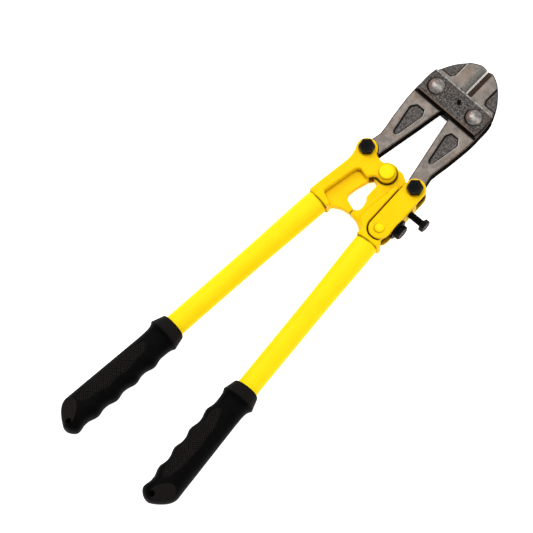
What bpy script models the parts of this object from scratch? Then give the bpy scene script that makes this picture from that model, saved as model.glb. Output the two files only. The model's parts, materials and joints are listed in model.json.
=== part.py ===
"""Bolt cutters with centre-cut jaws: two forged blades between cover plates, worked by two
cast and tubular handles. The tool lies flat on +Z up, jaws toward +Y, adjuster on the +X side."""

import math

import bmesh
import bpy
from mathutils import Matrix, Vector

# Overall sizes, in metres
overall_length = 0.452
jaw_reach = 0.040          # rivet line to jaw tips
blade_reach = 0.0765       # rivet line to tail bolts
rivet_spacing = 0.040
tail_spacing = 0.052
pivot_setback = 0.0050     # tail bolts to centre pivot, along the tool
foot_to_joint = 0.0142     # link rivet to the tube joint, along the tool
joint_spacing = 0.0530     # between the tube axes at their joints
handle_lean = math.radians(4.70)
fold_limit = math.radians(45.0)     # each handle, from closed
adjust_limit = math.radians(0.8)    # the link on its rivet, either way

# Fits
fit = 0.0003               # between parts that touch
edge_gap = 0.0003          # between the closed cutting edges
stop_gap = 0.0007          # between the handle stops

# Head
blade_thickness = 0.011
plate_thickness = 0.0045
plate_depth = 0.0226
head_rim = 0.0125          # rivet axis to the outside of the head
groove_width = 0.0056      # cutting bevel, from the edge to the ground flat
edge_land = 0.0008         # thickness left at the cutting edge
bevel_start = 0.0135       # rivet line to the back end of the cutting edge
pocket_depth = 0.0011
tail_radius = 0.0080       # round end of each blade
rivet_radius = 0.0042
rivet_dome_radius = 0.0069
rivet_dome_height = 0.0036

# Castings
cheek_thickness = 0.0035   # fork cheeks over the blades, and the link's two sides
ear_radius = 0.0090
ring_radius = 0.0080       # left casting's eyes on the centre pivot
tongue_radius = 0.0105     # right casting's eye
tongue_thickness = 0.0084
web_thickness = 0.0064
collar_length = 0.0044     # round end of each casting at its tube
link_length = 0.0438       # tail bolt to link rivet
link_web = 0.0030
link_gap = 0.0012          # between the link and the raised rib beside it
core_overhang = 0.0045     # casting core past the link's centre line

# Bolts, nuts and rivets
tail_bolt_radius = 0.0038
hex_half_width = 0.0055
bolt_head_height = 0.0049
nut_height = 0.0042
centre_bolt_radius = 0.0040
centre_head_radius = 0.0062
centre_head_height = 0.0036
link_rivet_radius = 0.0034
link_dome_radius = 0.0041
link_dome_height = 0.0016
adjuster_radius = 0.0030
adjuster_head_height = 0.0042
adjuster_hex_half_width = 0.0044
lock_hex_half_width = 0.0051
adjuster_spacing = 0.0164  # push bolt to pull bolt, along the link
push_bolt_reach = 0.0126   # visible shank outside the link
washer_radius = 0.0089
washer_thickness = 0.0017

# Handles
tube_radius = 0.00925
tube_root_radius = 0.0102
tube_flare = 0.080
tube_wall = 0.0016
spigot_length = 0.024
grip_length = 0.1220
grip_mouth_radius = 0.0114
grip_collar_radius = 0.0146
grip_collar_length = 0.0110
grip_neck_ease = 0.0035    # how fast the collar falls away to the neck
grip_neck_radius = 0.0112  # outer side, just behind the collar
grip_radius = 0.0135       # outer side, at the heel
grip_palm_radius = 0.0123  # inner side, in the first hollow
grip_belly = 0.0008        # extra on the inner side, half way down
grip_flatness = 0.97       # half-height against half-width
grip_end_wall = 0.0190     # solid rubber behind the tube
heel_length = 0.0180       # slanted end, outer side cut back
heel_inset = 0.0030        # end of the slant past the middle line
toe_length = 0.0070
toe_radius = 0.0060
scallop_depth = 0.0019
scallop_pitch = 0.0203
scallop_start = 0.0235
hang_hole_radius = 0.0023
hang_hole_back = 0.0047    # from the toe
hang_hole_side = 0.0040    # towards the hollows

# Derived places, from the middle of the head
rivet_x = rivet_spacing / 2
tail_x = tail_spacing / 2
tail_y = -blade_reach
pivot_y = tail_y - pivot_setback
link_lean = math.radians(1.7)
link_foot = (
    tail_x + link_length * math.sin(link_lean),
    tail_y - link_length * math.cos(link_lean),
)
adjuster_middle = (ear_radius + link_length - link_rivet_radius) / 2
push_bolt_back = adjuster_middle - adjuster_spacing / 2
pull_bolt_back = adjuster_middle + adjuster_spacing / 2
joint_x = joint_spacing / 2
joint_y = link_foot[1] - foot_to_joint
casting_reach = pivot_y - joint_y
half_blade = blade_thickness / 2
cheek_low = half_blade + fit
cheek_high = cheek_low + cheek_thickness
plate_low = half_blade + fit
plate_high = plate_low + plate_thickness
head_half_width = rivet_x + head_rim
mid_z = plate_high + fit + rivet_dome_height
head_y = overall_length / 2 - jaw_reach
handle_length = (overall_length - jaw_reach + joint_y) / math.cos(handle_lean)
tube_bore = tube_radius - tube_wall
tongue_half = tongue_thickness / 2
web_half = web_thickness / 2

parts = bpy.data.collections.new("bolt_cutters")
cutters = bpy.data.collections.new("bolt_cutters_cutters")


def clear_scene():
    for thing in list(bpy.data.objects):
        bpy.data.objects.remove(thing, do_unlink=True)
    bpy.context.scene.collection.children.link(parts)
    bpy.context.scene.collection.children.link(cutters)


def make_material(name, colour, roughness, metallic):
    material = bpy.data.materials.new(name)
    material.use_nodes = True
    shader = material.node_tree.nodes["Principled BSDF"]
    shader.inputs["Base Color"].default_value = (*colour, 1.0)
    shader.inputs["Roughness"].default_value = roughness
    shader.inputs["Metallic"].default_value = metallic
    return material


looks = {
    "yellow_paint": ((0.95, 0.68, 0.01), 0.3, 0.0),
    "ground_steel": ((0.42, 0.38, 0.35), 0.38, 0.9),
    "forged_black": ((0.10, 0.095, 0.09), 0.55, 0.8),
    "rivet_steel": ((0.50, 0.48, 0.46), 0.35, 0.9),
    "black_oxide": ((0.015, 0.015, 0.016), 0.4, 0.6),
    "black_rubber": ((0.018, 0.018, 0.018), 0.7, 0.0),
}


# Outline helpers, in the plan of the head


def polar(centre, radius, angle):
    return (centre[0] + radius * math.cos(angle), centre[1] + radius * math.sin(angle))


def arc(centre, radius, start, end, steps):
    """Points on an arc, with the angles in degrees."""
    angles = [math.radians(start + (end - start) * i / steps) for i in range(steps + 1)]
    return [polar(centre, radius, angle) for angle in angles]


def circle(centre, radius, steps=32):
    return arc(centre, radius, 0, 360 - 360 / steps, steps - 1)


def smooth(points, steps=3):
    """An open curve through the points, by Catmull-Rom."""
    ends = [points[0], *points, points[-1]]
    curve = []
    for a, b, c, d in zip(ends, ends[1:], ends[2:], ends[3:]):
        for i in range(steps):
            t = i / steps
            curve.append(tuple(
                0.5 * (2 * q + (r - p) * t + (2 * p - 5 * q + 4 * r - s) * t ** 2
                       + (3 * q - p - 3 * r + s) * t ** 3)
                for p, q, r, s in zip(a, b, c, d)
            ))
    curve.append(points[-1])
    return curve


def mirrored(outline):
    return [(-x, y) for x, y in reversed(outline)]


def area(outline):
    return sum(
        a[0] * b[1] - b[0] * a[1] for a, b in zip(outline, outline[1:] + outline[:1])
    ) / 2


def along_link(distance, side=0.0):
    """A point a distance down the link from the tail bolt, and out to one side."""
    down = (math.sin(link_lean), -math.cos(link_lean))
    out = (math.cos(link_lean), math.sin(link_lean))
    return (
        tail_x + distance * down[0] + side * out[0],
        tail_y + distance * down[1] + side * out[1],
    )


def along_handle(distance, side=0.0):
    """A point a distance down the right handle from its tube joint, and out to one side."""
    down = (math.sin(handle_lean), -math.cos(handle_lean))
    out = (math.cos(handle_lean), math.sin(handle_lean))
    return (
        joint_x + distance * down[0] + side * out[0],
        joint_y + distance * down[1] + side * out[1],
    )


# Mesh helpers


def new_object(name, mesh, pivot=None, look=None):
    """Links a mesh made in world coordinates, with its origin moved to the pivot."""
    thing = bpy.data.objects.new(name, mesh)
    if look is None:
        cutters.objects.link(thing)
        thing.hide_render = True
        thing.display_type = "WIRE"
    else:
        parts.objects.link(thing)
        mesh.materials.append(make_material(name, *looks[look]))
    if pivot is not None:
        place = Vector((pivot[0], pivot[1] + head_y, mid_z))
        mesh.transform(Matrix.Translation(-place))
        thing.location = place
    return thing


def finish_mesh(name, bm):
    bmesh.ops.recalc_face_normals(bm, faces=bm.faces)
    mesh = bpy.data.meshes.new(name)
    bm.to_mesh(mesh)
    bm.free()
    return mesh


def prism(name, outline, low, high, pivot=None, look=None, round_over=0.0, steps=2):
    """A flat outline given thickness, with its rims rounded over if asked."""
    bm = bmesh.new()
    ring = outline if area(outline) > 0 else outline[::-1]
    below = [bm.verts.new((x, y + head_y, low + mid_z)) for x, y in ring]
    above = [bm.verts.new((x, y + head_y, high + mid_z)) for x, y in ring]
    bm.faces.new(below[::-1])
    bm.faces.new(above)
    for i in range(len(ring)):
        j = (i + 1) % len(ring)
        bm.faces.new((below[i], below[j], above[j], above[i]))
    thing = new_object(name, finish_mesh(name, bm), pivot, look)
    if round_over > 0:
        bevel = thing.modifiers.new("rims", "BEVEL")
        bevel.width = round_over
        bevel.segments = steps
        bevel.limit_method = "ANGLE"
        bevel.angle_limit = math.radians(60)
    return thing


def hex_radius(half_width, angle):
    turn = math.radians(60)
    return half_width / math.cos((angle + turn / 2) % turn - turn / 2)


def turned(name, base, direction, sections, pivot, look, sides=24, ring=False):
    """A round or hexagonal body built up along an axis. Each section is a height, a radius
    and a shape; a ring's sections run up the outside and back down the bore."""
    bm = bmesh.new()
    way = Vector(direction).normalized()
    across = way.orthogonal().normalized()
    up = way.cross(across)
    start = Vector((base[0], base[1] + head_y, base[2] + mid_z))
    rows = []
    for height, radius, shape in sections:
        row = []
        for i in range(sides):
            angle = 2 * math.pi * i / sides
            size = hex_radius(radius, angle) if shape == "hex" else radius
            spoke = across * math.cos(angle) + up * math.sin(angle)
            row.append(bm.verts.new(start + way * height + spoke * size))
        rows.append(row)
    pairs = list(zip(rows, rows[1:]))
    if ring:
        pairs.append((rows[-1], rows[0]))
    for low, high in pairs:
        for i in range(sides):
            j = (i + 1) % sides
            bm.faces.new((low[i], low[j], high[j], high[i]))
    if not ring:
        bm.faces.new(rows[0][::-1])
        bm.faces.new(rows[-1])
    thing = new_object(name, finish_mesh(name, bm), pivot, look)
    for face in thing.data.polygons:
        face.use_smooth = len(face.vertices) == 4
    return thing


def combine(target, helper, operation):
    step = target.modifiers.new(helper.name, "BOOLEAN")
    step.operation = operation
    step.solver = "EXACT"
    step.object = helper


def cut(target, *helpers):
    for helper in helpers:
        combine(target, helper, "DIFFERENCE")


def add(target, *helpers):
    for helper in helpers:
        combine(target, helper, "UNION")


def hole(name, centre, radius):
    return prism(name, circle(centre, radius), -2 * mid_z, 2 * mid_z)


def dome(radius, height, base, steps=4):
    """Sections of a low round head from its rim to its crown."""
    ball = (radius ** 2 + height ** 2) / (2 * height)
    rise = math.asin(radius / ball)
    crown = base + height
    return [
        (crown - ball + ball * math.cos(rise * (1 - i / steps)),
         ball * math.sin(rise * (1 - i / steps)), "round")
        for i in range(steps)
    ] + [(crown, radius * 0.12, "round")]


# The closed linkage is modelled open at the centre pivot. Its blades turn in a fixed
# proportion to the handles, so the two halves of that pivot slip a little between their ends.


def arm_sizes():
    arm = math.hypot(tail_x, pivot_setback)
    arm_angle = math.atan2(pivot_setback, tail_x)
    blade = math.hypot(tail_x - rivet_x, blade_reach)
    blade_angle = math.atan2(tail_x - rivet_x, blade_reach)
    return arm, arm_angle, blade, blade_angle


def blade_turn(fold):
    """How far a blade turns when its handle has turned by fold."""
    arm, arm_angle, blade, blade_angle = arm_sizes()
    return blade_angle - math.asin((arm * math.cos(arm_angle + fold) - rivet_x) / blade)


def most_slip():
    """The widest gap between the two halves of the centre pivot, with the fold it comes at."""
    arm, arm_angle, blade, blade_angle = arm_sizes()
    share = blade_turn(fold_limit) / fold_limit
    found = []
    for i in range(46):
        fold = fold_limit * i / 45
        tail = -rivet_x - blade * math.sin(blade_angle - share * fold)
        found.append((2 * (tail + arm * math.cos(arm_angle + fold)), fold))
    return max(found)


def adjust_slip():
    arm = math.hypot(link_foot[0], link_foot[1] - pivot_y)
    return arm * adjust_limit


# Head


def blade_outline():
    """The right blade, from the jaw tip round the outside to the tail and back up the inside."""
    edge = edge_gap / 2
    wide = head_half_width
    tail = (tail_x, tail_y)
    head = smooth([
        (edge, jaw_reach),
        (0.13 * wide, 0.996 * jaw_reach),
        (0.27 * wide, 0.955 * jaw_reach),
        (0.42 * wide, 0.885 * jaw_reach),
        (0.57 * wide, 0.775 * jaw_reach),
        (0.72 * wide, 0.625 * jaw_reach),
        (0.86 * wide, 0.425 * jaw_reach),
        (0.96 * wide, 0.190 * jaw_reach),
        (wide, -0.06 * blade_reach),
        (1.005 * wide, -0.19 * blade_reach),
        (0.98 * wide, -0.34 * blade_reach),
        (0.915 * wide, -0.56 * blade_reach),
        (tail_x + 0.17 * tail_radius, 0.77 * tail_y),
        polar(tail, 1.02 * tail_radius, math.radians(58)),
    ], 2)
    heel = arc(tail, tail_radius, 40, -180, 12)
    arm = smooth([
        (tail_x - 1.26 * tail_radius, 0.955 * tail_y),
        (0.14 * wide + 0.31 * (tail_x - 1.26 * tail_radius - 0.14 * wide), 0.42 * tail_y),
        (0.14 * wide, 0.16 * tail_y),
        (0.055 * wide, 0.07 * tail_y),
    ], 2)
    notch = [
        (0.035 * wide, 0.10 * bevel_start),
        (0.035 * wide, 0.35 * bevel_start),
        (0.135 * wide, 0.74 * bevel_start),
        (0.125 * wide, 0.86 * bevel_start),
        (edge, bevel_start),
    ]
    return head + heel + arm + notch


def groove_cutter(name, sign):
    """The wedge ground off one face of the right blade along its cutting edge."""
    rise = half_blade - edge_land / 2
    slope = rise / groove_width
    over = 0.004
    near = -over * slope
    bm = bmesh.new()
    rows = []
    for y in (0.60 * bevel_start, jaw_reach + over):
        rows.append([
            bm.verts.new((x + edge_gap / 2, y + head_y, sign * (edge_land / 2 + z) + mid_z))
            for x, z in (
                (-over, near),
                (groove_width + over, rise + over * slope),
                (-over, rise + over * slope),
            )
        ])
    for i in range(3):
        j = (i + 1) % 3
        bm.faces.new((rows[0][i], rows[0][j], rows[1][j], rows[1][i]))
    bm.faces.new(rows[0])
    bm.faces.new(rows[1])
    return new_object(name, finish_mesh(name, bm))


def pocket_outline():
    """The tapering hollow forged in the right blade's arm."""
    wide = head_half_width
    return [
        (0.79 * wide, 0.335 * tail_y),
        (0.68 * wide, 0.270 * tail_y),
        (0.45 * wide, 0.268 * tail_y),
        (0.375 * wide, 0.335 * tail_y),
        (0.505 * wide, 0.645 * tail_y),
        (0.545 * wide, 0.675 * tail_y),
        (0.62 * wide, 0.675 * tail_y),
        (0.66 * wide, 0.645 * tail_y),
    ]


def corner_outline():
    """The unground outer corner of the right jaw."""
    wide = head_half_width
    return [
        (0.50 * wide, 1.2 * jaw_reach),
        (0.49 * wide, 0.47 * jaw_reach),
        (0.56 * wide, 0.375 * jaw_reach),
        (1.2 * wide, 0.370 * jaw_reach),
        (1.2 * wide, 1.2 * jaw_reach),
    ]


def flip(thing):
    """Mirrors a mesh made in world coordinates across the middle of the tool."""
    thing.data.transform(Matrix.Scale(-1, 4, Vector((1, 0, 0))))
    thing.data.flip_normals()
    return thing


def build_blade(side):
    sign = 1 if side == "right" else -1
    outline = blade_outline()
    pivot = (sign * rivet_x, 0)
    name = "blade_" + side
    if sign < 0:
        outline = mirrored(outline)
    blade = prism(name, outline, -half_blade, half_blade, pivot, "ground_steel", 0.0004, 1)
    helpers = []
    for face, way in (("top", 1), ("bottom", -1)):
        low, high = sorted((way * (half_blade - pocket_depth), way * 2 * half_blade))
        helpers.append(groove_cutter(f"{name}_groove_{face}", way))
        helpers.append(prism(f"{name}_pocket_{face}", pocket_outline(), low, high))
        helpers.append(prism(f"{name}_corner_{face}", corner_outline(), low, high))
    helpers.append(hole(f"{name}_rivet_hole", (rivet_x, 0), rivet_radius + fit))
    helpers.append(hole(f"{name}_tail_hole", (tail_x, tail_y), tail_bolt_radius + fit))
    if sign < 0:
        helpers = [flip(helper) for helper in helpers]
    cut(blade, *helpers)
    return blade


def plate_outline():
    """A cover plate, straight across and curved at its ends like the head."""
    half = plate_depth / 2
    end = head_half_width - 0.0010
    side = smooth([(0.955 * end, half), (0.99 * end, 0.5 * half), (end, 0),
                   (0.995 * end, -0.5 * half), (0.97 * end, -half)], 2)
    return side + mirrored(side)


def build_plate(side):
    sign = 1 if side == "top" else -1
    low, high = sorted((sign * plate_low, sign * plate_high))
    plate = prism("cover_plate_" + side, plate_outline(), low, high, (0, 0), "forged_black",
                  0.0007, 2)
    for name, x in (("left", -rivet_x), ("right", rivet_x)):
        cut(plate, hole(f"plate_{side}_{name}_hole", (x, 0), rivet_radius + fit))
    return plate


def build_rivet(side):
    x = rivet_x if side == "right" else -rivet_x
    seat = plate_high + fit
    upper = dome(rivet_dome_radius, rivet_dome_height, seat)
    lower = [(-height, radius, shape) for height, radius, shape in reversed(upper)]
    middle = [(-seat, rivet_radius, "round"), (seat, rivet_radius, "round")]
    return turned("head_rivet_" + side, (x, 0, 0), (0, 0, 1), lower + middle + upper, (x, 0),
                  "rivet_steel")


# Left handle


def left_body_outline():
    """Full-height part of the left casting: ear, outer band, bridge and centre eye."""
    ear = (-tail_x, tail_y)
    eye = (0, pivot_y)
    outer = joint_x + tube_root_radius
    inner = joint_x - tube_root_radius
    body = arc(ear, ear_radius, 12, 196, 12)
    body += smooth([
        (-tail_x - 0.75 * ear_radius, pivot_y - 0.03 * casting_reach),
        (-tail_x - 0.60 * ear_radius, pivot_y - 0.12 * casting_reach),
        (-tail_x - 0.58 * ear_radius, pivot_y - 0.23 * casting_reach),
        (-0.88 * outer, pivot_y - 0.38 * casting_reach),
        (-0.915 * outer, pivot_y - 0.55 * casting_reach),
        (-0.955 * outer, pivot_y - 0.75 * casting_reach),
        (-0.985 * outer, joint_y + 0.004),
    ], 2)
    joint = [mirrored([along_handle(0, side)])[0] for side in (tube_root_radius, -tube_root_radius)]
    body += joint
    body += [
        (-inner + 0.0005, joint_y + 0.0035),
        (-inner - 0.0045, joint_y + 0.0052),
        (-tail_x - 0.001, joint_y + 0.0080),
        (-tail_x + 0.0047, pivot_y - 0.30 * casting_reach),
        (-tail_x + 0.0060, pivot_y - 0.24 * casting_reach),
        (-tail_x + 0.0085, pivot_y - 0.215 * casting_reach),
        (-1.18 * ring_radius, pivot_y - 0.255 * casting_reach),
        (-0.75 * ring_radius, pivot_y - 1.08 * ring_radius),
    ]
    body += arc(eye, ring_radius, 250, 470, 16)
    body += smooth([
        (-0.75 * ring_radius, pivot_y + 0.66 * ring_radius),
        (-1.30 * ring_radius, pivot_y + 0.57 * ring_radius),
        (-tail_x + 1.32 * ear_radius, tail_y + 0.06 * ear_radius),
    ], 2)
    return body


def arch_side():
    """Half of the arch under the stops, from the middle out to the tube, for the right."""
    inner = joint_x - tube_root_radius
    top = joint_y + 0.0092
    return smooth([
        (stop_gap / 2, top),
        (0.36 * inner, top - 0.0006),
        (0.67 * inner, top - 0.0026),
        (0.89 * inner, top - 0.0052),
        (inner + 0.0004, joint_y + 0.0006),
    ], 2)


def left_web_outline():
    """The thinner web between the band and the opening, with the stop lug."""
    stop = -stop_gap / 2
    return [
        (-tail_x - 0.004, joint_y + 0.003),
        (-tail_x - 0.002, pivot_y - 0.40 * casting_reach),
        (-tail_x + 0.004, pivot_y - 0.20 * casting_reach),
        (-1.15 * ring_radius, pivot_y - 0.18 * casting_reach),
    ] + smooth([
        (-0.95 * ring_radius, pivot_y - 0.275 * casting_reach),
        (-1.27 * ring_radius, pivot_y - 0.44 * casting_reach),
        (-1.43 * ring_radius, pivot_y - 0.585 * casting_reach),
        (-1.32 * ring_radius, pivot_y - 0.655 * casting_reach),
        (-1.08 * ring_radius, pivot_y - 0.692 * casting_reach),
    ], 2) + [(stop, pivot_y - 0.742 * casting_reach)] + mirrored(arch_side())[::-1]


def blade_slot_outline():
    """Room between the left ear's cheeks for the blade tail, through the handle's swing."""
    reach = tail_radius + 2 * fit
    tail = (tail_x, tail_y)
    swing = fold_limit + blade_turn(fold_limit)
    last = math.pi / 2 - swing
    low = math.degrees(last) - 90
    slot = arc(tail, reach, 186, 360 + low, 14)
    slot += [
        polar(slot[-1], 0.05, last),
        (tail_x, tail_y + 0.06),
        (0.30 * tail_x, tail_y + 0.06),
        (tail_x - 1.36 * tail_radius, tail_y + 0.001),
    ]
    return mirrored(slot)


def slip_disc(side, radius):
    """A disc wide enough for an eye of this radius through its slip on the open pivot."""
    slip, fold = most_slip()
    way = 1 if side == "right" else -1
    centre = (way * slip / 2 * math.cos(fold), pivot_y - slip / 2 * math.sin(fold))
    return centre, radius + slip / 2 + adjust_slip() + fit


def spigot(name, side):
    sign = 1 if side == "right" else -1
    base = along_handle(-0.004)
    lean = (sign * math.sin(handle_lean), -math.cos(handle_lean), 0)
    radius = tube_bore - fit
    sections = [
        (0, radius, "round"),
        (spigot_length + 0.004 - 0.001, radius, "round"),
        (spigot_length + 0.004, radius - 0.001, "round"),
    ]
    return turned_helper(name, (sign * base[0], base[1], 0), lean, sections, 32)


def turned_helper(name, base, direction, sections, sides):
    """A turned body used only to shape another."""
    thing = turned(name, base, direction, sections, None, "yellow_paint", sides)
    parts.objects.unlink(thing)
    cutters.objects.link(thing)
    thing.hide_render = True
    thing.display_type = "WIRE"
    return thing


def collar(name, side):
    """The round end of a casting where the tube butts against it."""
    sign = 1 if side == "right" else -1
    base = along_handle(-collar_length)
    lean = (sign * math.sin(handle_lean), -math.cos(handle_lean), 0)
    sections = [
        (0, 0.80 * tube_root_radius, "round"),
        (0.3 * collar_length, 0.95 * tube_root_radius, "round"),
        (0.6 * collar_length, tube_root_radius, "round"),
        (collar_length + 0.001, tube_root_radius, "round"),
    ]
    return turned_helper(name, (sign * base[0], base[1], 0), lean, sections, 32)


def joint_cutter(name, side):
    """Squares the casting off at the tube joint, leaving the spigot to be added after."""
    points = [along_handle(-fit, -0.014), along_handle(-fit, 0.03), along_handle(0.04, 0.03),
              along_handle(0.04, -0.014)]
    if side == "left":
        points = mirrored(points)
    return prism(name, points, -2 * mid_z, 2 * mid_z)


def build_left_casting():
    body = prism("casting_left", left_body_outline(), -cheek_high, cheek_high,
                 (-tail_x, tail_y), "yellow_paint", 0.0014, 2)
    add(body, prism("left_web", left_web_outline(), -web_half, web_half),
        collar("left_collar", "left"))
    cut(body, joint_cutter("left_joint_cut", "left"))
    add(body, spigot("left_spigot", "left"))
    centre, reach = slip_disc("left", tongue_radius)
    half = tongue_half + fit
    cut(body,
        prism("left_blade_slot", blade_slot_outline(), -cheek_low, cheek_low),
        prism("left_tongue_slot", circle(centre, reach, 40), -half, half),
        hole("left_ear_hole", (-tail_x, tail_y), tail_bolt_radius + fit),
        hole("left_eye_hole", (0, pivot_y), centre_bolt_radius + fit))
    return body


# Right handle


def right_body_outline():
    """Full-height part of the right casting: the rib beside the link and the end round it."""
    inner = joint_x - tube_root_radius
    rib = -ear_radius - link_gap
    foot = math.degrees(link_lean)
    body = [along_link(0.0075, rib), along_link(link_length, rib)]
    body += arc(link_foot, ear_radius + link_gap, 180 + foot + 8, 318, 12)
    body += [
        (joint_x + 1.06 * tube_root_radius, joint_y + 0.0045),
        along_handle(0, tube_root_radius),
        along_handle(0, -tube_root_radius),
        (inner + 0.0008, joint_y + 0.0040),
    ]
    body += smooth([
        (0.52 * inner, pivot_y - 0.80 * casting_reach),
        (0.50 * inner, pivot_y - 0.66 * casting_reach),
        (0.60 * inner, pivot_y - 0.45 * casting_reach),
        (0.70 * inner, pivot_y - 0.22 * casting_reach),
        (0.76 * inner, pivot_y - 0.05 * casting_reach),
    ], 2)
    return body


def right_web_outline():
    """The lower part of the right casting: tongue, inner side and stop lug."""
    eye = (0, pivot_y)
    stop = stop_gap / 2
    web = arc(eye, tongue_radius, 62, 268, 18)
    web += smooth([
        (0.0004, pivot_y - 0.26 * casting_reach),
        (0.0006, pivot_y - 0.465 * casting_reach),
        (0.0022, pivot_y - 0.490 * casting_reach),
        (0.0038, pivot_y - 0.590 * casting_reach),
        (0.0039, pivot_y - 0.675 * casting_reach),
        (0.0024, pivot_y - 0.722 * casting_reach),
        (stop, pivot_y - 0.742 * casting_reach),
    ], 2)
    web += arch_side()
    web += [
        (joint_x, joint_y + 0.002),
        along_link(0.030, -ear_radius + 0.001),
        along_link(0.008, -ear_radius - link_gap),
    ]
    web += smooth([
        along_link(0.0045, -ear_radius - link_gap - 0.0004),
        (0.62 * tail_x, tail_y + 0.0002),
        (0.31 * tail_x, tail_y + 0.0050),
    ], 2)
    return web


def core_outline():
    """The part of the right casting inside the link."""
    out = core_overhang
    foot = math.degrees(link_lean)
    core = [
        along_link(0.0100, -ear_radius - link_gap - 0.002),
        along_link(0.0100, out - 0.001),
        along_link(0.0110, out),
        along_link(link_length - 0.0036, out),
    ]
    core += arc(link_foot, 1.24 * core_overhang, foot + 36, foot - 20, 4)
    core += [
        along_link(link_length + 0.0062, out + 0.0010),
        along_link(link_length + 0.0140, 0.006),
        along_link(link_length + 0.0140, -0.012),
        along_link(link_length, -ear_radius - link_gap - 0.002),
    ]
    return core


def adjuster_way():
    return (math.cos(link_lean), math.sin(link_lean), 0)


def cross_hole(name, back, start, end, radius):
    """A round hole across the link or the casting core, at a distance from the tail bolt."""
    base = along_link(back, start)
    sections = [(0, radius, "round"), (end - start, radius, "round")]
    return turned_helper(name, (base[0], base[1], 0), adjuster_way(), sections, 24)


def build_right_casting():
    body = prism("casting_right", right_body_outline(), -cheek_high, cheek_high,
                 link_foot, "yellow_paint", 0.0014, 2)
    add(body,
        prism("right_web", right_web_outline(), -web_half - 0.0008, web_half + 0.0008),
        prism("right_core", core_outline(), -half_blade, half_blade),
        collar("right_collar", "right"))
    cut(body, joint_cutter("right_joint_cut", "right"))
    add(body, spigot("right_spigot", "right"))
    centre, reach = slip_disc("right", ring_radius)
    bore, play = slip_disc("right", centre_bolt_radius)
    cut(body,
        prism("right_eye_top", circle(centre, reach, 40), tongue_half, 2 * mid_z),
        prism("right_eye_bottom", circle(centre, reach, 40), -2 * mid_z, -tongue_half),
        hole("right_eye_hole", bore, play),
        hole("right_rivet_hole", link_foot, link_rivet_radius + fit),
        cross_hole("right_pull_hole", pull_bolt_back, -0.0045, 0.02, adjuster_radius + fit))
    return body


def build_link():
    """The adjusting link: two sides joined by a web on the outside, open round the blade."""
    top = (tail_x, tail_y)
    lean = math.degrees(link_lean)
    outline = arc(link_foot, ear_radius, lean - 180, lean, 14)
    outline += arc(top, ear_radius, lean, lean + 180, 14)
    link = prism("adjusting_link", outline, -cheek_high, cheek_high, top, "yellow_paint",
                 0.0008, 2)
    web_start = tail_radius + 0.0006
    web_end = link_length - 0.0046
    inside = ear_radius - link_web
    slot = [
        along_link(-0.03, -0.03),
        along_link(-0.03, 0.03),
        along_link(web_start, 0.03),
        along_link(web_start, inside),
        along_link(web_end, inside),
        along_link(web_end, 0.03),
        along_link(link_length + 0.03, 0.03),
        along_link(link_length + 0.03, -0.03),
    ]
    cut(link,
        prism("link_slot", slot, -cheek_low, cheek_low),
        hole("link_top_hole", top, tail_bolt_radius + fit),
        hole("link_foot_hole", link_foot, link_rivet_radius + fit),
        cross_hole("link_push_hole", push_bolt_back, 0, 0.02, adjuster_radius + fit),
        cross_hole("link_pull_hole", pull_bolt_back, 0, 0.02, adjuster_radius + fit))
    return link


def build_tube(side):
    sign = 1 if side == "right" else -1
    length = handle_length - grip_end_wall
    lean = (sign * math.sin(handle_lean), -math.cos(handle_lean), 0)
    sections = [(0, tube_bore, "round"), (0, tube_root_radius - 0.0004, "round"),
                (0.0005, tube_root_radius, "round")]
    for i in range(1, 6):
        part = i / 5
        fall = part * part * (3 - 2 * part)
        radius = tube_root_radius + (tube_radius - tube_root_radius) * fall
        sections.append((tube_flare * part, radius, "round"))
    sections += [(length, tube_radius, "round"), (length, tube_bore, "round")]
    return turned("tube_" + side, (sign * joint_x, joint_y, 0), lean, sections,
                  (sign * joint_x, joint_y), "yellow_paint", 32, ring=True)


def grip_widths(along):
    """Inner and outer half-width and half-height at a distance down a grip."""
    if along <= grip_collar_length:
        part = along / grip_collar_length
        width = grip_mouth_radius + (grip_collar_radius - grip_mouth_radius) * part
        return width, width, grip_flatness * width
    part = (along - grip_collar_length) / (grip_length - grip_collar_length)
    fall = math.exp((grip_collar_length - along) / grip_neck_ease)
    outer = grip_neck_radius + (grip_radius - grip_neck_radius) * part
    high = grip_flatness * (outer + (grip_collar_radius - outer) * fall)
    outer += (grip_collar_radius - outer) * fall
    inner = grip_palm_radius + grip_belly * math.sin(math.pi * part)
    inner += (grip_collar_radius - inner) * fall
    if along > scallop_start:
        turn = (along - scallop_start) / scallop_pitch
        inner += scallop_depth * ((1 - math.cos(2 * math.pi * turn)) / 2) ** 1.3
    left = grip_length - along
    heel = 1 - max(0.0, 1 - left / heel_length) ** 2.1
    outer = heel * (outer + heel_inset) - heel_inset
    toe = math.sqrt(1 - max(0.0, 1 - left / toe_length) ** 2)
    inner = toe_radius + (inner - toe_radius) * toe
    roof = math.sqrt(1 - max(0.0, 1 - left / heel_length) ** 2)
    high = heel_inset + (high - heel_inset) * roof
    return inner, outer, high


def grip_stations():
    """Distances down a grip, closest at the collar's ridge and at the end."""
    front = [0.07, 0.4, 0.7, 1.0, 1.12, 1.26, 1.45, 1.7, 2.0]
    stations = [grip_collar_length * part for part in front]
    end_start = grip_length - heel_length
    steps = 38
    for i in range(steps):
        stations.append(scallop_start + (end_start - scallop_start) * i / steps)
    for part in (1.0, 0.9, 0.8, 0.7, 0.6, 0.5, 0.4, 0.3, 0.22, 0.15, 0.09, 0.045, 0.015):
        stations.append(grip_length - heel_length * part)
    return stations


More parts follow.
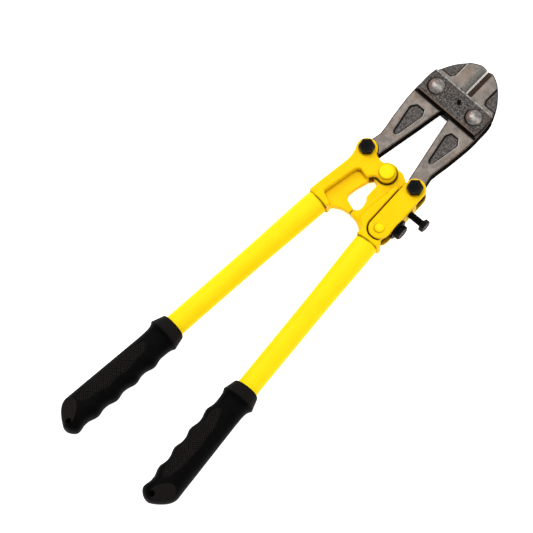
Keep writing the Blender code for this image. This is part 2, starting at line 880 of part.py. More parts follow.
def build_grip(side):
    """A moulded sleeve with finger hollows on its inner side and a solid end."""
    sign = 1 if side == "right" else -1
    start = handle_length - grip_length
    sides = 28
    bm = bmesh.new()
    rows = []

    def ring(along, inner, outer, high):
        middle = (outer - inner) / 2
        half = (outer + inner) / 2
        row = []
        for i in range(sides):
            angle = 2 * math.pi * i / sides
            point = along_handle(start + along, middle + half * math.cos(angle))
            row.append(bm.verts.new((
                sign * point[0], point[1] + head_y, high * math.sin(angle) + mid_z)))
        return row

    bore = tube_radius + fit
    depth = grip_length - grip_end_wall + fit
    rows.append(ring(depth, bore, bore, bore))
    rows.append(ring(0, bore, bore, bore))
    mouth = grip_mouth_radius - 0.0005
    rows.append(ring(0, mouth, mouth, mouth))
    for along in grip_stations():
        rows.append(ring(along, *grip_widths(along)))
    for low, high in zip(rows, rows[1:]):
        for i in range(sides):
            j = (i + 1) % sides
            bm.faces.new((low[i], low[j], high[j], high[i]))
    bm.faces.new(rows[0])
    bm.faces.new(rows[-1])
    grip = new_object("grip_" + side, finish_mesh("grip_" + side, bm),
                      (sign * joint_x, joint_y), "black_rubber")
    for face in grip.data.polygons:
        face.use_smooth = len(face.vertices) == 4
    centre = along_handle(handle_length - hang_hole_back, -hang_hole_side)
    cut(grip, hole(f"{side}_hang_hole", (sign * centre[0], centre[1]), hang_hole_radius))
    return grip


# Fasteners


def hex_bolt_sections(tip, seat, shank, half_width, height):
    """A bolt from the tip of its shank to the top of its chamfered hexagon head."""
    return [
        (tip, shank - 0.0004, "round"),
        (tip + 0.0004, shank, "round"),
        (seat, shank, "round"),
        (seat, half_width, "hex"),
        (seat + 0.86 * height, half_width, "hex"),
        (seat + height, half_width * 0.97, "round"),
    ]


def nut_sections(low, high, bore, half_width):
    return [
        (low, bore, "round"),
        (low, half_width * 0.97, "round"),
        (low + 0.0005, half_width, "hex"),
        (high, half_width, "hex"),
        (high, bore, "round"),
    ]


def build_tail_bolt(side):
    x = tail_x if side == "right" else -tail_x
    seat = cheek_high + fit
    tip = -(seat + nut_height + 0.0002)
    sections = hex_bolt_sections(tip, seat, tail_bolt_radius, hex_half_width, bolt_head_height)
    return turned("tail_bolt_" + side, (x, tail_y, 0), (0, 0, 1), sections, (x, tail_y),
                  "black_oxide", 18)


def build_tail_nut(side):
    x = tail_x if side == "right" else -tail_x
    high = -cheek_high - fit
    sections = nut_sections(high - nut_height, high, tail_bolt_radius + fit, hex_half_width)
    return turned("tail_nut_" + side, (x, tail_y, 0), (0, 0, 1), sections, (x, tail_y),
                  "black_oxide", 18, ring=True)


def build_centre_bolt():
    seat = cheek_high + fit
    tip = -(seat + nut_height + 0.0002)
    sections = [
        (tip, centre_bolt_radius - 0.0004, "round"),
        (tip + 0.0004, centre_bolt_radius, "round"),
        (seat, centre_bolt_radius, "round"),
        (seat, centre_head_radius, "round"),
        (seat + 0.70 * centre_head_height, centre_head_radius, "round"),
        (seat + 0.90 * centre_head_height, centre_head_radius - 0.0006, "round"),
        (seat + centre_head_height, 0.55 * centre_head_radius, "round"),
    ]
    return turned("centre_bolt", (0, pivot_y, 0), (0, 0, 1), sections, (0, pivot_y),
                  "yellow_paint")


def build_centre_nut():
    high = -cheek_high - fit
    sections = nut_sections(high - nut_height, high, centre_bolt_radius + fit, hex_half_width)
    return turned("centre_nut", (0, pivot_y, 0), (0, 0, 1), sections, (0, pivot_y),
                  "yellow_paint", 18, ring=True)


def build_link_rivet():
    seat = cheek_high + fit
    upper = dome(link_dome_radius, link_dome_height, seat, 3)
    lower = [(-height, radius, shape) for height, radius, shape in reversed(upper)]
    middle = [(-seat, link_rivet_radius, "round"), (seat, link_rivet_radius, "round")]
    return turned("link_rivet", (*link_foot, 0), (0, 0, 1), lower + middle + upper, link_foot,
                  "yellow_paint")


def build_push_bolt():
    """The long adjusting bolt, whose tip bears on the casting core."""
    base = along_link(push_bolt_back)
    tip = core_overhang + fit
    seat = ear_radius + push_bolt_reach
    sections = hex_bolt_sections(tip, seat, adjuster_radius, adjuster_hex_half_width,
                                 adjuster_head_height)
    return turned("push_bolt", (*base, 0), adjuster_way(), sections,
                  along_link(push_bolt_back, ear_radius), "black_oxide", 18)


def build_pull_washer():
    base = along_link(pull_bolt_back)
    low = ear_radius + fit
    bore = adjuster_radius + fit
    sections = [(low, bore, "round"), (low, washer_radius, "round"),
                (low + washer_thickness, washer_radius - 0.0004, "round"),
                (low + washer_thickness, bore, "round")]
    return turned("pull_washer", (*base, 0), adjuster_way(), sections,
                  along_link(pull_bolt_back, ear_radius), "black_oxide", ring=True)


def build_pull_bolt():
    """The lock bolt, which draws the link in against the casting core."""
    base = along_link(pull_bolt_back)
    seat = ear_radius + washer_thickness + 2 * fit
    sections = hex_bolt_sections(-0.0035, seat, adjuster_radius, lock_hex_half_width,
                                 adjuster_head_height)
    return turned("pull_bolt", (*base, 0), adjuster_way(), sections,
                  along_link(pull_bolt_back, ear_radius), "black_oxide", 18)


def build_all():
    clear_scene()
    for side in ("top", "bottom"):
        build_plate(side)
    for side in ("left", "right"):
        build_rivet(side)
        build_blade(side)
        build_tube(side)
        build_grip(side)
        build_tail_bolt(side)
        build_tail_nut(side)
    build_left_casting()
    build_right_casting()
    build_link()
    build_link_rivet()
    build_centre_bolt()
    build_centre_nut()
    build_push_bolt()
    build_pull_washer()
    build_pull_bolt()


build_all()
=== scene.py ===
# Bolt cutters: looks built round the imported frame.
import json
import math

import bmesh
import bpy
import numpy as np
from mathutils import Matrix, Vector, noise
from mathutils.kdtree import KDTree


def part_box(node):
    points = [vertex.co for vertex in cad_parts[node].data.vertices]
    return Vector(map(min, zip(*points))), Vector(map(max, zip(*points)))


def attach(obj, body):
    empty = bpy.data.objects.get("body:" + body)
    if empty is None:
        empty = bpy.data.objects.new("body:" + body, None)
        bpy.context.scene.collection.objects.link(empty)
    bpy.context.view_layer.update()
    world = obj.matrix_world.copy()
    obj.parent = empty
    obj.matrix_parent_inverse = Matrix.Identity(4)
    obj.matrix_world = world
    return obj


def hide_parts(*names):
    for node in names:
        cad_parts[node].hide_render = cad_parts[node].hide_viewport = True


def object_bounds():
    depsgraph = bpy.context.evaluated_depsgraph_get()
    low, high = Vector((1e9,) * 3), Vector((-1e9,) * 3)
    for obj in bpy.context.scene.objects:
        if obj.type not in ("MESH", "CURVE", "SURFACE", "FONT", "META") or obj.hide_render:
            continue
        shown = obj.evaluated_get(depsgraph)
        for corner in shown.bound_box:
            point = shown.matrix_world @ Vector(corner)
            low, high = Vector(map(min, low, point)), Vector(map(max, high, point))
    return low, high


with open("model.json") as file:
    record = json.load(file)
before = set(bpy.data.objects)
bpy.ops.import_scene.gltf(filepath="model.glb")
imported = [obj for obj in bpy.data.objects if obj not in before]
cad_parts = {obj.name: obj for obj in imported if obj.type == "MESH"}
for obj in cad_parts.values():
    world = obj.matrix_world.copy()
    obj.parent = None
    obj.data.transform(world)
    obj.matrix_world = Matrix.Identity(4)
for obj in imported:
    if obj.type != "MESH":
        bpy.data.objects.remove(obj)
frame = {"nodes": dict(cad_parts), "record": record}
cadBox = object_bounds()
nodes = frame["nodes"]
bodyOf = {n: body for body, names in frame["record"]["behaviour"]["bodies"].items()
          for n in names}
midZ = sum(corner.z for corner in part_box("blade_left")) / 2   # the tool's middle plane
print("frame loaded:", len(nodes), "nodes")


# Camera, first, so the rest can be placed against its view

cameraLook = {
    "azimuth": 42.15,
    "elevation": 70.1,
    "roll": 0.34,
    "lens": 800.0,          # mm, nearly parallel
    "frameWidth": 0.4250,   # metres across the picture at the tool
    "aim": (-0.01910, -0.01690, 0.0144),
}


def viewAxes(azimuth, elevation, roll):
    a, e, t = (math.radians(x) for x in (azimuth, elevation, roll))
    back = Vector((math.sin(a) * math.cos(e), -math.cos(a) * math.cos(e), math.sin(e)))
    right = Vector((math.cos(a), math.sin(a), 0))
    up = back.cross(right)
    return right * math.cos(t) + up * math.sin(t), up * math.cos(t) - right * math.sin(t), back


viewRight, viewUp, viewBack = viewAxes(cameraLook["azimuth"], cameraLook["elevation"],
                                       cameraLook["roll"])


def makeCamera():
    data = bpy.data.cameras.new("studioCamera")
    camera = bpy.data.objects.new("studioCamera", data)
    bpy.context.scene.collection.objects.link(camera)
    data.lens = cameraLook["lens"]
    data.sensor_width = 36
    width = cameraLook["frameWidth"]
    aim = Vector(cameraLook["aim"])
    distance = width * data.lens / data.sensor_width
    place = aim + viewBack * distance
    camera.matrix_world = Matrix((
        (viewRight.x, viewUp.x, viewBack.x, place.x),
        (viewRight.y, viewUp.y, viewBack.y, place.y),
        (viewRight.z, viewUp.z, viewBack.z, place.z),
        (0, 0, 0, 1)))
    data.clip_end = 20
    bpy.context.scene.camera = camera


makeCamera()


# Material helpers


def newMaterial(name, colour, metal, rough):
    material = bpy.data.materials.new(name)
    material.use_nodes = True
    shader = material.node_tree.nodes["Principled BSDF"]
    shader.inputs["Base Color"].default_value = (*colour, 1)
    shader.inputs["Metallic"].default_value = metal
    shader.inputs["Roughness"].default_value = rough
    return material, material.node_tree, shader


def addNode(tree, kind, settings=None, **inputs):
    made = tree.nodes.new("ShaderNode" + kind)
    for key, value in (settings or {}).items():
        setattr(made, key, value)
    for key, value in inputs.items():
        socket = made.inputs[key.replace("_", " ")]
        if isinstance(value, bpy.types.NodeSocket):
            tree.links.new(value, socket)
        else:
            socket.default_value = value
    return made


def placeCoords(tree, scale=(1, 1, 1)):
    coords = addNode(tree, "TexCoord")
    return addNode(tree, "Mapping", Vector=coords.outputs["Object"], Scale=scale).outputs[0]


def noiseAt(tree, place, scale, detail=3.0, rough=0.55):
    return addNode(tree, "TexNoise", Vector=place, Scale=scale, Detail=detail,
                   Roughness=rough).outputs["Fac"]


def ramp(tree, value, *stops):
    made = addNode(tree, "ValToRGB", Fac=value)
    band = made.color_ramp
    while len(band.elements) < len(stops):
        band.elements.new(0.5)
    for element, (at, colour) in zip(band.elements, stops):
        element.position = at
        element.color = (*colour, 1) if len(colour) == 3 else colour
    return made.outputs["Color"]


def remap(tree, value, low, high, toLow, toHigh):
    made = addNode(tree, "MapRange", {"clamp": True})
    tree.links.new(value, made.inputs[0])
    for i, number in zip((1, 2, 3, 4), (low, high, toLow, toHigh)):
        made.inputs[i].default_value = number
    return made.outputs[0]


def mixColour(tree, share, first, second, blend="MIX"):
    made = addNode(tree, "Mix", {"data_type": "RGBA", "blend_type": blend})
    for index, value in ((0, share), (6, first), (7, second)):
        if isinstance(value, bpy.types.NodeSocket):
            tree.links.new(value, made.inputs[index])
        elif index == 0:
            made.inputs[0].default_value = value
        else:
            made.inputs[index].default_value = (*value, 1)
    return made.outputs[2]


def mathNode(tree, operation, first, second=0.0):
    made = addNode(tree, "Math", {"operation": operation})
    for index, value in ((0, first), (1, second)):
        if isinstance(value, bpy.types.NodeSocket):
            tree.links.new(value, made.inputs[index])
        else:
            made.inputs[index].default_value = value
    return made.outputs[0]


def addBump(tree, shader, height, strength, distance, below=None):
    made = addNode(tree, "Bump", Height=height, Strength=strength, Distance=distance)
    if below is not None:
        tree.links.new(below.outputs[0], made.inputs["Normal"])
    tree.links.new(made.outputs[0], shader.inputs["Normal"])
    return made


def vertexValue(tree, name):
    return addNode(tree, "Attribute", {"attribute_name": name}).outputs["Fac"]


# Mesh helpers

boltTurn = math.radians(12)   # how the upright hexagons stand


def showMesh(name, mesh, node, material, also=()):
    piece = bpy.data.objects.new(name, mesh)
    bpy.context.scene.collection.objects.link(piece)
    mesh.materials.clear()
    mesh.materials.append(material)
    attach(piece, bodyOf[node])
    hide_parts(node, *also)
    return piece


def pointsOf(mesh):
    found = np.empty(len(mesh.vertices) * 3, np.float32)
    mesh.vertices.foreach_get("co", found)
    return found.reshape(-1, 3).astype(float)


def normalsOf(mesh):
    found = np.empty(len(mesh.vertices) * 3, np.float32)
    mesh.vertices.foreach_get("normal", found)
    return found.reshape(-1, 3).astype(float)


def setPoints(mesh, points):
    mesh.vertices.foreach_set("co", points.astype(np.float32).ravel())
    mesh.update()


def setValue(mesh, name, values):
    layer = mesh.attributes.new(name, "FLOAT", "POINT")
    layer.data.foreach_set("value", np.clip(values, 0, 1).astype(np.float32))


def skinMesh(name, node, voxel, rounds):
    # A fine even skin over a CAD node, its corners eased by a few rounds of smoothing
    helper = bpy.data.objects.new(name + "Helper", nodes[node].data.copy())
    bpy.context.scene.collection.objects.link(helper)
    remesh = helper.modifiers.new("skin", "REMESH")
    remesh.mode = "VOXEL"
    remesh.voxel_size = voxel
    ease = helper.modifiers.new("ease", "SMOOTH")
    ease.factor = 0.5
    ease.iterations = rounds
    bpy.context.view_layer.update()
    graph = bpy.context.evaluated_depsgraph_get()
    mesh = bpy.data.meshes.new_from_object(helper.evaluated_get(graph))
    mesh.name = name
    bpy.data.objects.remove(helper)
    mesh.shade_smooth()
    return mesh


def lumps(points, scale, seed=0.0):
    shift = Vector((seed, 1.7 * seed, 2.3 * seed))
    return np.array([noise.noise(Vector(p) * scale + shift) for p in points])


def smoothStep(values, low, high):
    share = np.clip((values - low) / (high - low), 0, 1)
    return share * share * (3 - 2 * share)


def axisOf(node, toward):
    # Middle line of a round CAD node: a point on it, its direction and its two ends
    points = pointsOf(nodes[node].data)
    lo, hi = points.min(0), points.max(0)
    spread = points - points.mean(0)
    direction = np.linalg.svd(spread, full_matrices=False)[2][0]
    direction[2] = 0
    direction /= np.linalg.norm(direction)
    if direction @ np.array(toward) < 0:
        direction = -direction
    middle = points.mean(0)
    middle[2] = (lo[2] + hi[2]) / 2
    along = (points - middle) @ direction
    return middle, direction, along.min(), along.max()


def gridMesh(name, rows, closed=True):
    # rows of points, each row a ring, joined into a skin with flat ends
    rings, sides = len(rows), len(rows[0])
    points = np.concatenate(rows)
    faces = []
    for i in range(rings - 1):
        for j in range(sides):
            k = (j + 1) % sides
            faces.append((i * sides + j, i * sides + k, (i + 1) * sides + k,
                          (i + 1) * sides + j))
    if closed:
        faces.append(tuple(range(sides))[::-1])
        faces.append(tuple(range((rings - 1) * sides, rings * sides)))
    mesh = bpy.data.meshes.new(name)
    mesh.from_pydata([tuple(p) for p in points], [], faces)
    bm = bmesh.new()
    bm.from_mesh(mesh)
    bmesh.ops.recalc_face_normals(bm, faces=bm.faces)
    bm.to_mesh(mesh)
    bm.free()
    return mesh


def turnedMesh(name, origin, direction, profile, sides, shape=None, sharp=32):
    way = Vector(direction).normalized()
    across = way.orthogonal().normalized()
    if abs(way.z) > 0.9:
        across = Vector((math.cos(boltTurn), math.sin(boltTurn), 0))
    up = way.cross(across)
    angles = np.arange(sides) * 2 * math.pi / sides
    spokes = np.outer(np.cos(angles), across) + np.outer(np.sin(angles), up)
    rows = []
    for height, radius in profile:
        radii = np.full(sides, radius) if shape is None else shape(height, radius, angles)
        rows.append(np.array(origin) + np.array(way) * height + spokes * radii[:, None])
    mesh = gridMesh(name, rows)
    mesh.shade_smooth()
    mesh.set_sharp_from_angle(angle=math.radians(sharp))
    return mesh


def openRing(mesh):
    # Drops the two end caps of a turned ring and welds its first row to its last
    bm = bmesh.new()
    bm.from_mesh(mesh)
    ends = [f for f in bm.faces if len(f.verts) > 4]
    bmesh.ops.delete(bm, geom=ends, context="FACES_ONLY")
    bmesh.ops.remove_doubles(bm, verts=bm.verts, dist=1e-7)
    bmesh.ops.recalc_face_normals(bm, faces=bm.faces)
    bm.to_mesh(mesh)
    bm.free()


# Yellow enamel: castings, link and centre bolt share one recipe, tubes a glossier one

enamelLook = {
    "yellow": (0.79, 0.500, 0.0022),
    "deepYellow": (0.78, 0.430, 0.0012),
    "tube": (0.84, 0.610, 0.0040),
    "deepTube": (0.82, 0.555, 0.0022),
    # colour of the painted shade in creases and round bolt heads
    "creviceShade": (0.22, 0.085, 0.002),
    "rough": (0.24, 0.38),
    "castGrain": 0.35,
}


def makeEnamel(name, grain, withPaintedShade, yellow, deepYellow):
    material, tree, shader = newMaterial(name, yellow, 0.0, 0.25)
    place = placeCoords(tree)
    clouds = noiseAt(tree, place, 55.0, 3.0)
    patches = remap(tree, clouds, 0.42, 0.70, 0.0, 0.55)
    colour = mixColour(tree, patches, yellow, deepYellow)
    specks = remap(tree, noiseAt(tree, place, 900.0, 2.0), 0.735, 0.76, 0.0, 0.5)
    colour = mixColour(tree, specks, colour, (0.30, 0.13, 0.003))
    if withPaintedShade:
        # painted shade: brown in hollows and round bolt heads, darker in recesses, near-black in
        # gaps
        patchy = remap(tree, noiseAt(tree, place, 420.0), 0.30, 0.60, 0.60, 1.0)
        creaseShade = mathNode(tree, "MULTIPLY", vertexValue(tree, "creaseShade"), patchy)
        colour = mixColour(tree, creaseShade, colour, enamelLook["creviceShade"])
        # painted shade in recesses
        recessShade = mathNode(tree, "MULTIPLY", vertexValue(tree, "recessShade"), patchy)
        colour = mixColour(tree, recessShade, colour, (0.09, 0.035, 0.004))
        # painted shadow, near-black, in the gaps between parts
        colour = mixColour(tree, vertexValue(tree, "gapShadow"), colour, (0.008, 0.0035, 0.001))
    colour = mixColour(tree, vertexValue(tree, "joint"), colour, (0.05, 0.018, 0.002))
    tree.links.new(colour, shader.inputs["Base Color"])
    low, high = enamelLook["rough"]
    tree.links.new(remap(tree, noiseAt(tree, place, 130.0, 4.0), 0.3, 0.7, low, high),
                   shader.inputs["Roughness"])
    shader.inputs["Specular IOR Level"].default_value = 0.015
    shader.inputs["Coat Weight"].default_value = 0.02 if withPaintedShade else 0.04
    shader.inputs["Coat Roughness"].default_value = 0.12
    fine = addBump(tree, shader, noiseAt(tree, place, 1600.0, 2.0), 0.20, 0.00004)
    addBump(tree, shader, noiseAt(tree, place, 420.0, 3.0), grain, 0.00012, fine)
    return material


castEnamel = makeEnamel("castEnamel", enamelLook["castGrain"], True, enamelLook["yellow"],
                        enamelLook["deepYellow"])
tubeEnamel = makeEnamel("tubeEnamel", 0.10, False, enamelLook["tube"], enamelLook["deepTube"])


# Steel of the blades: ground flats, forged hollows and sides told apart by vertex values

bladeLook = {
    "ground": (0.152, 0.131, 0.115),
    "groundDark": (0.076, 0.065, 0.057),
    "forged": (0.034, 0.030, 0.028),
    "forgedLight": (0.135, 0.123, 0.114),
    # near-black for the side walls, also used for painted shade and shadow on the blades
    "side": (0.0045, 0.0038, 0.0036),
    # painted highlight, near white: the cutting line and the lit rims of the flats
    "edge": (0.95, 0.93, 0.90),
    "bevel": (0.205, 0.201, 0.184),
    "bevelDark": (0.110, 0.108, 0.100),
    # painted shade over the right blade's bevel
    "warm": (0.060, 0.030, 0.020),
}


def makeBladeSteel():
    material, tree, shader = newMaterial("bladeSteel", bladeLook["ground"], 0.85, 0.42)
    place = placeCoords(tree)
    brushed = placeCoords(tree, (1.0, 7.0, 1.0))
    mottle = noiseAt(tree, place, 170.0, 6.0, 0.72)
    grain = noiseAt(tree, brushed, 900.0, 4.0, 0.7)
    colour = mixColour(tree, remap(tree, mottle, 0.38, 0.68, 0.0, 0.9),
                       bladeLook["ground"], bladeLook["groundDark"])
    colour = mixColour(tree, remap(tree, grain, 0.45, 0.75, 0.0, 0.35), colour,
                       (0.27, 0.243, 0.220))
    stain = remap(tree, noiseAt(tree, place, 48.0, 4.0, 0.6), 0.50, 0.68, 0.0, 0.40)
    colour = mixColour(tree, stain, colour, (0.125, 0.082, 0.055))
    pits = remap(tree, noiseAt(tree, place, 1500.0, 2.0), 0.68, 0.74, 0.0, 0.5)
    colour = mixColour(tree, pits, colour, (0.10, 0.075, 0.06))
    skin = noiseAt(tree, place, 800.0, 5.0, 0.7)
    forged = mixColour(tree, remap(tree, skin, 0.40, 0.66, 0.0, 1.0),
                       bladeLook["forged"], bladeLook["forgedLight"])
    isForged = vertexValue(tree, "forged")
    darkWallAndShade = vertexValue(tree, "side")
    isHighlight = vertexValue(tree, "edge")
    cut = mixColour(tree, remap(tree, noiseAt(tree, place, 1300.0, 4.0, 0.7), 0.42, 0.62, 0.0, 1.0),
                    bladeLook["bevel"], bladeLook["bevelDark"])
    colour = mixColour(tree, vertexValue(tree, "bevel"), colour, cut)
    colour = mixColour(tree, vertexValue(tree, "warm"), colour, bladeLook["warm"])
    colour = mixColour(tree, isForged, colour, forged)
    # painted highlight on the cutting line and lit rims
    colour = mixColour(tree, isHighlight, colour, bladeLook["edge"])
    colour = mixColour(tree, darkWallAndShade, colour, bladeLook["side"])
    tree.links.new(colour, shader.inputs["Base Color"])
    rough = remap(tree, mottle, 0.3, 0.7, 0.34, 0.50)
    rough = mathNode(tree, "ADD", rough, mathNode(tree, "MULTIPLY", isForged, 0.14))
    tree.links.new(rough, shader.inputs["Roughness"])
    metal = mathNode(tree, "MULTIPLY", mathNode(tree, "SUBTRACT", 1.0, darkWallAndShade), 0.85)
    metal = mathNode(tree, "MULTIPLY", metal, mathNode(tree, "SUBTRACT", 1.0, isHighlight))
    tree.links.new(metal, shader.inputs["Metallic"])
    shader.inputs["Specular IOR Level"].default_value = 0.0
    notForged = mathNode(tree, "SUBTRACT", 1.0, isForged)
    fine = addBump(tree, shader, mathNode(tree, "MULTIPLY", grain, notForged), 0.25, 0.00004)
    coarse = mathNode(tree, "MULTIPLY", skin, isForged)
    addBump(tree, shader, coarse, 0.8, 0.00028, fine)
    return material


bladeSteel = makeBladeSteel()


def makeForged():
    material, tree, shader = newMaterial("forgedPlate", (0.085, 0.080, 0.076), 0.75, 0.48)
    place = placeCoords(tree)
    coarse = noiseAt(tree, place, 950.0, 5.0, 0.75)
    broad = noiseAt(tree, place, 90.0, 3.0)
    colour = ramp(tree, coarse, (0.38, (0.007, 0.006, 0.006)), (0.50, (0.043, 0.039, 0.036)),
                  (0.64, (0.185, 0.172, 0.162)))
    colour = mixColour(tree, remap(tree, broad, 0.45, 0.68, 0.0, 0.5), colour,
                       (0.070, 0.052, 0.042))
    # painted highlight along the plate's front rim
    frontHighlight = mathNode(tree, "MULTIPLY", vertexValue(tree, "frontHighlight"),
                      remap(tree, noiseAt(tree, placeCoords(tree, (9.0, 1.0, 1.0)), 90.0, 4.0),
                            0.36, 0.60, 0.15, 1.0))
    colour = mixColour(tree, frontHighlight, colour, (0.34, 0.32, 0.30))
    colour = mixColour(tree, vertexValue(tree, "warm"), colour, (0.115, 0.075, 0.052))
    # near-black: the side walls, the punch mark, and painted shadow round the rivets
    darkWallAndShade = vertexValue(tree, "side")
    colour = mixColour(tree, darkWallAndShade, colour, (0.004, 0.0035, 0.0035))
    tree.links.new(colour, shader.inputs["Base Color"])
    metal = mathNode(tree, "MULTIPLY", mathNode(tree, "SUBTRACT", 1.0, darkWallAndShade), 0.75)
    tree.links.new(metal, shader.inputs["Metallic"])
    shader.inputs["Specular IOR Level"].default_value = 0.0
    tree.links.new(remap(tree, coarse, 0.3, 0.7, 0.38, 0.60), shader.inputs["Roughness"])
    fine = addBump(tree, shader, noiseAt(tree, place, 2300.0, 3.0), 0.3, 0.00005)
    addBump(tree, shader, coarse, 0.75, 0.00028, fine)
    return material


def makeRivetSteel():
    material, tree, shader = newMaterial("rivetSteel", (0.33, 0.31, 0.29), 0.75, 0.48)
    place = placeCoords(tree)
    stain = noiseAt(tree, place, 330.0, 4.0, 0.6)
    colour = mixColour(tree, remap(tree, stain, 0.46, 0.64, 0.0, 0.80), (0.285, 0.265, 0.250),
                       (0.080, 0.062, 0.052))
    dark = remap(tree, noiseAt(tree, place, 700.0, 2.0), 0.66, 0.74, 0.0, 0.7)
    colour = mixColour(tree, dark, colour, (0.08, 0.055, 0.04))
    # painted reflection and painted shadow on the dome
    colour = mixColour(tree, vertexValue(tree, "brownReflection"), colour, (0.16, 0.105, 0.075))
    colour = mixColour(tree, vertexValue(tree, "ring"), colour, (0.012, 0.010, 0.009))
    tree.links.new(colour, shader.inputs["Base Color"])
    tree.links.new(remap(tree, stain, 0.35, 0.7, 0.30, 0.48), shader.inputs["Roughness"])
    addBump(tree, shader, noiseAt(tree, place, 1000.0, 4.0), 0.80, 0.00022)
    return material


def makeBlackOxide():
    material, tree, shader = newMaterial("blackOxide", (0.004, 0.004, 0.004), 0.0, 0.38)
    place = placeCoords(tree)
    film = noiseAt(tree, place, 500.0, 4.0)
    colour = mixColour(tree, remap(tree, film, 0.45, 0.75, 0.0, 1.0), (0.0009, 0.0008, 0.0008),
                       (0.0032, 0.0028, 0.0027))
    worn = mathNode(tree, "MULTIPLY", vertexValue(tree, "worn"),
                    remap(tree, noiseAt(tree, place, 900.0, 3.0), 0.35, 0.6, 0.2, 1.0))
    colour = mixColour(tree, worn, colour, (0.055, 0.052, 0.050))
    tree.links.new(colour, shader.inputs["Base Color"])
    shader.inputs["Specular IOR Level"].default_value = 0.04
    tree.links.new(remap(tree, film, 0.3, 0.7, 0.30, 0.52), shader.inputs["Roughness"])
    addBump(tree, shader, noiseAt(tree, place, 1800.0, 3.0), 0.25, 0.00005)
    return material


def makeRubber():
    material, tree, shader = newMaterial("blackRubber", (0.010, 0.010, 0.010), 0.0, 0.55)
    place = placeCoords(tree)
    film = noiseAt(tree, place, 160.0, 4.0)
    colour = mixColour(tree, remap(tree, film, 0.42, 0.72, 0.0, 1.0), (0.0011, 0.0011, 0.0012),
                       (0.0022, 0.0020, 0.0020))
    # lighter diamond peaks, flats and collar: partly dirt, partly painted sheen
    dustAndSheen = mathNode(tree, "MULTIPLY", vertexValue(tree, "ridge"), 0.62)
    colour = mixColour(tree, dustAndSheen, colour, (0.045, 0.037, 0.033))
    # painted shade inside the hanging hole
    colour = mixColour(tree, vertexValue(tree, "holeShade"), colour, (0.0003, 0.0003, 0.0003))
    tree.links.new(colour, shader.inputs["Base Color"])
    rough = remap(tree, noiseAt(tree, place, 700.0, 3.0), 0.3, 0.7, 0.46, 0.62)
    rough = mathNode(tree, "MAXIMUM", rough, vertexValue(tree, "holeShade"))
    tree.links.new(rough, shader.inputs["Roughness"])
    shader.inputs["Specular IOR Level"].default_value = 0.02
    addBump(tree, shader, noiseAt(tree, place, 2600.0, 2.0), 0.22, 0.00005)
    return material


forgedPlate = makeForged()
rivetSteel = makeRivetSteel()
blackOxide = makeBlackOxide()
blackRubber = makeRubber()
print("materials made")


# Castings and link

castingLook = {
    "voxel": 0.00045,
    "rounds": 4,
    "lump": 0.00012,
    "lumpScale": 95.0,
    "creaseShadeFrom": 0.00004,   # metres of hollow where the painted shade in the creases starts
    "creaseShadeTo": 0.00024,
    "gapShadowReach": 0.0014,
    "ring": 0.75,
    "shadowReach": 0.0022,   # under the eye of the left casting
}


def smoothed(mesh, points, rounds):
    edges = np.empty(len(mesh.edges) * 2, np.int32)
    mesh.edges.foreach_get("vertices", edges)
    first, second = edges.reshape(-1, 2).T
    count = np.bincount(edges, minlength=len(points))[:, None]
    for _ in range(rounds):
        total = np.stack([np.bincount(first, points[second, k], len(points))
                          + np.bincount(second, points[first, k], len(points))
                          for k in range(points.shape[1])], axis=1)
        points = points + 0.6 * (total / count - points)
    return points


def hollowOf(mesh, points, normals, rounds=10):
    # How far each point lies under the surface round it
    return ((smoothed(mesh, points, rounds) - points) * normals).sum(axis=1)


def gapTo(points, others):
    tree = KDTree(len(others))
    for i, p in enumerate(others):
        tree.insert(p, i)
    tree.balance()
    return np.array([tree.find(p)[2] for p in points])


skins = {node: skinMesh(name, node, castingLook["voxel"], castingLook["rounds"])
         for node, name in (("casting_left", "castingLeft"), ("casting_right", "castingRight"),
                            ("adjusting_link", "adjustingLink"))}


def softenRib(mesh, points):
    # The web runs up to the rib beside the link in one soft slope, with no step
    height = np.abs(points[:, 2] - midZ)
    across = smoothStep(points[:, 0], 0.002, 0.006) * smoothStep(-points[:, 0], -0.0165, -0.0145)
    pivotY = sum(corner.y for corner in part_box("centre_bolt")) / 2
    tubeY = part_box("tube_right")[1].y
    below = smoothStep(pivotY - points[:, 1], 0.010, 0.015)
    above = smoothStep(points[:, 1] - tubeY, 0.002, 0.006)
    weight = (across * below * above * smoothStep(height, 0.0030, 0.0036))[:, None]
    for _ in range(3):
        points = points + weight * (smoothed(mesh, points, 30) - points)
    setPoints(mesh, points)


def ringAbout(points, bolt, radius):
    # A painted shadow line round a bolt head, widest on its lower left
    centre = np.array(sum(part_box(bolt), Vector()) / 2)[:2]
    plan = points[:, :2] - centre
    away = np.linalg.norm(plan, axis=1)
    lean = plan @ np.array((-0.30, -0.95)) / np.maximum(away, 1e-6)
    return (0.65 + 0.35 * lean) * (1 - smoothStep(away - radius - 0.0003 * lean, 0.0001, 0.0007))


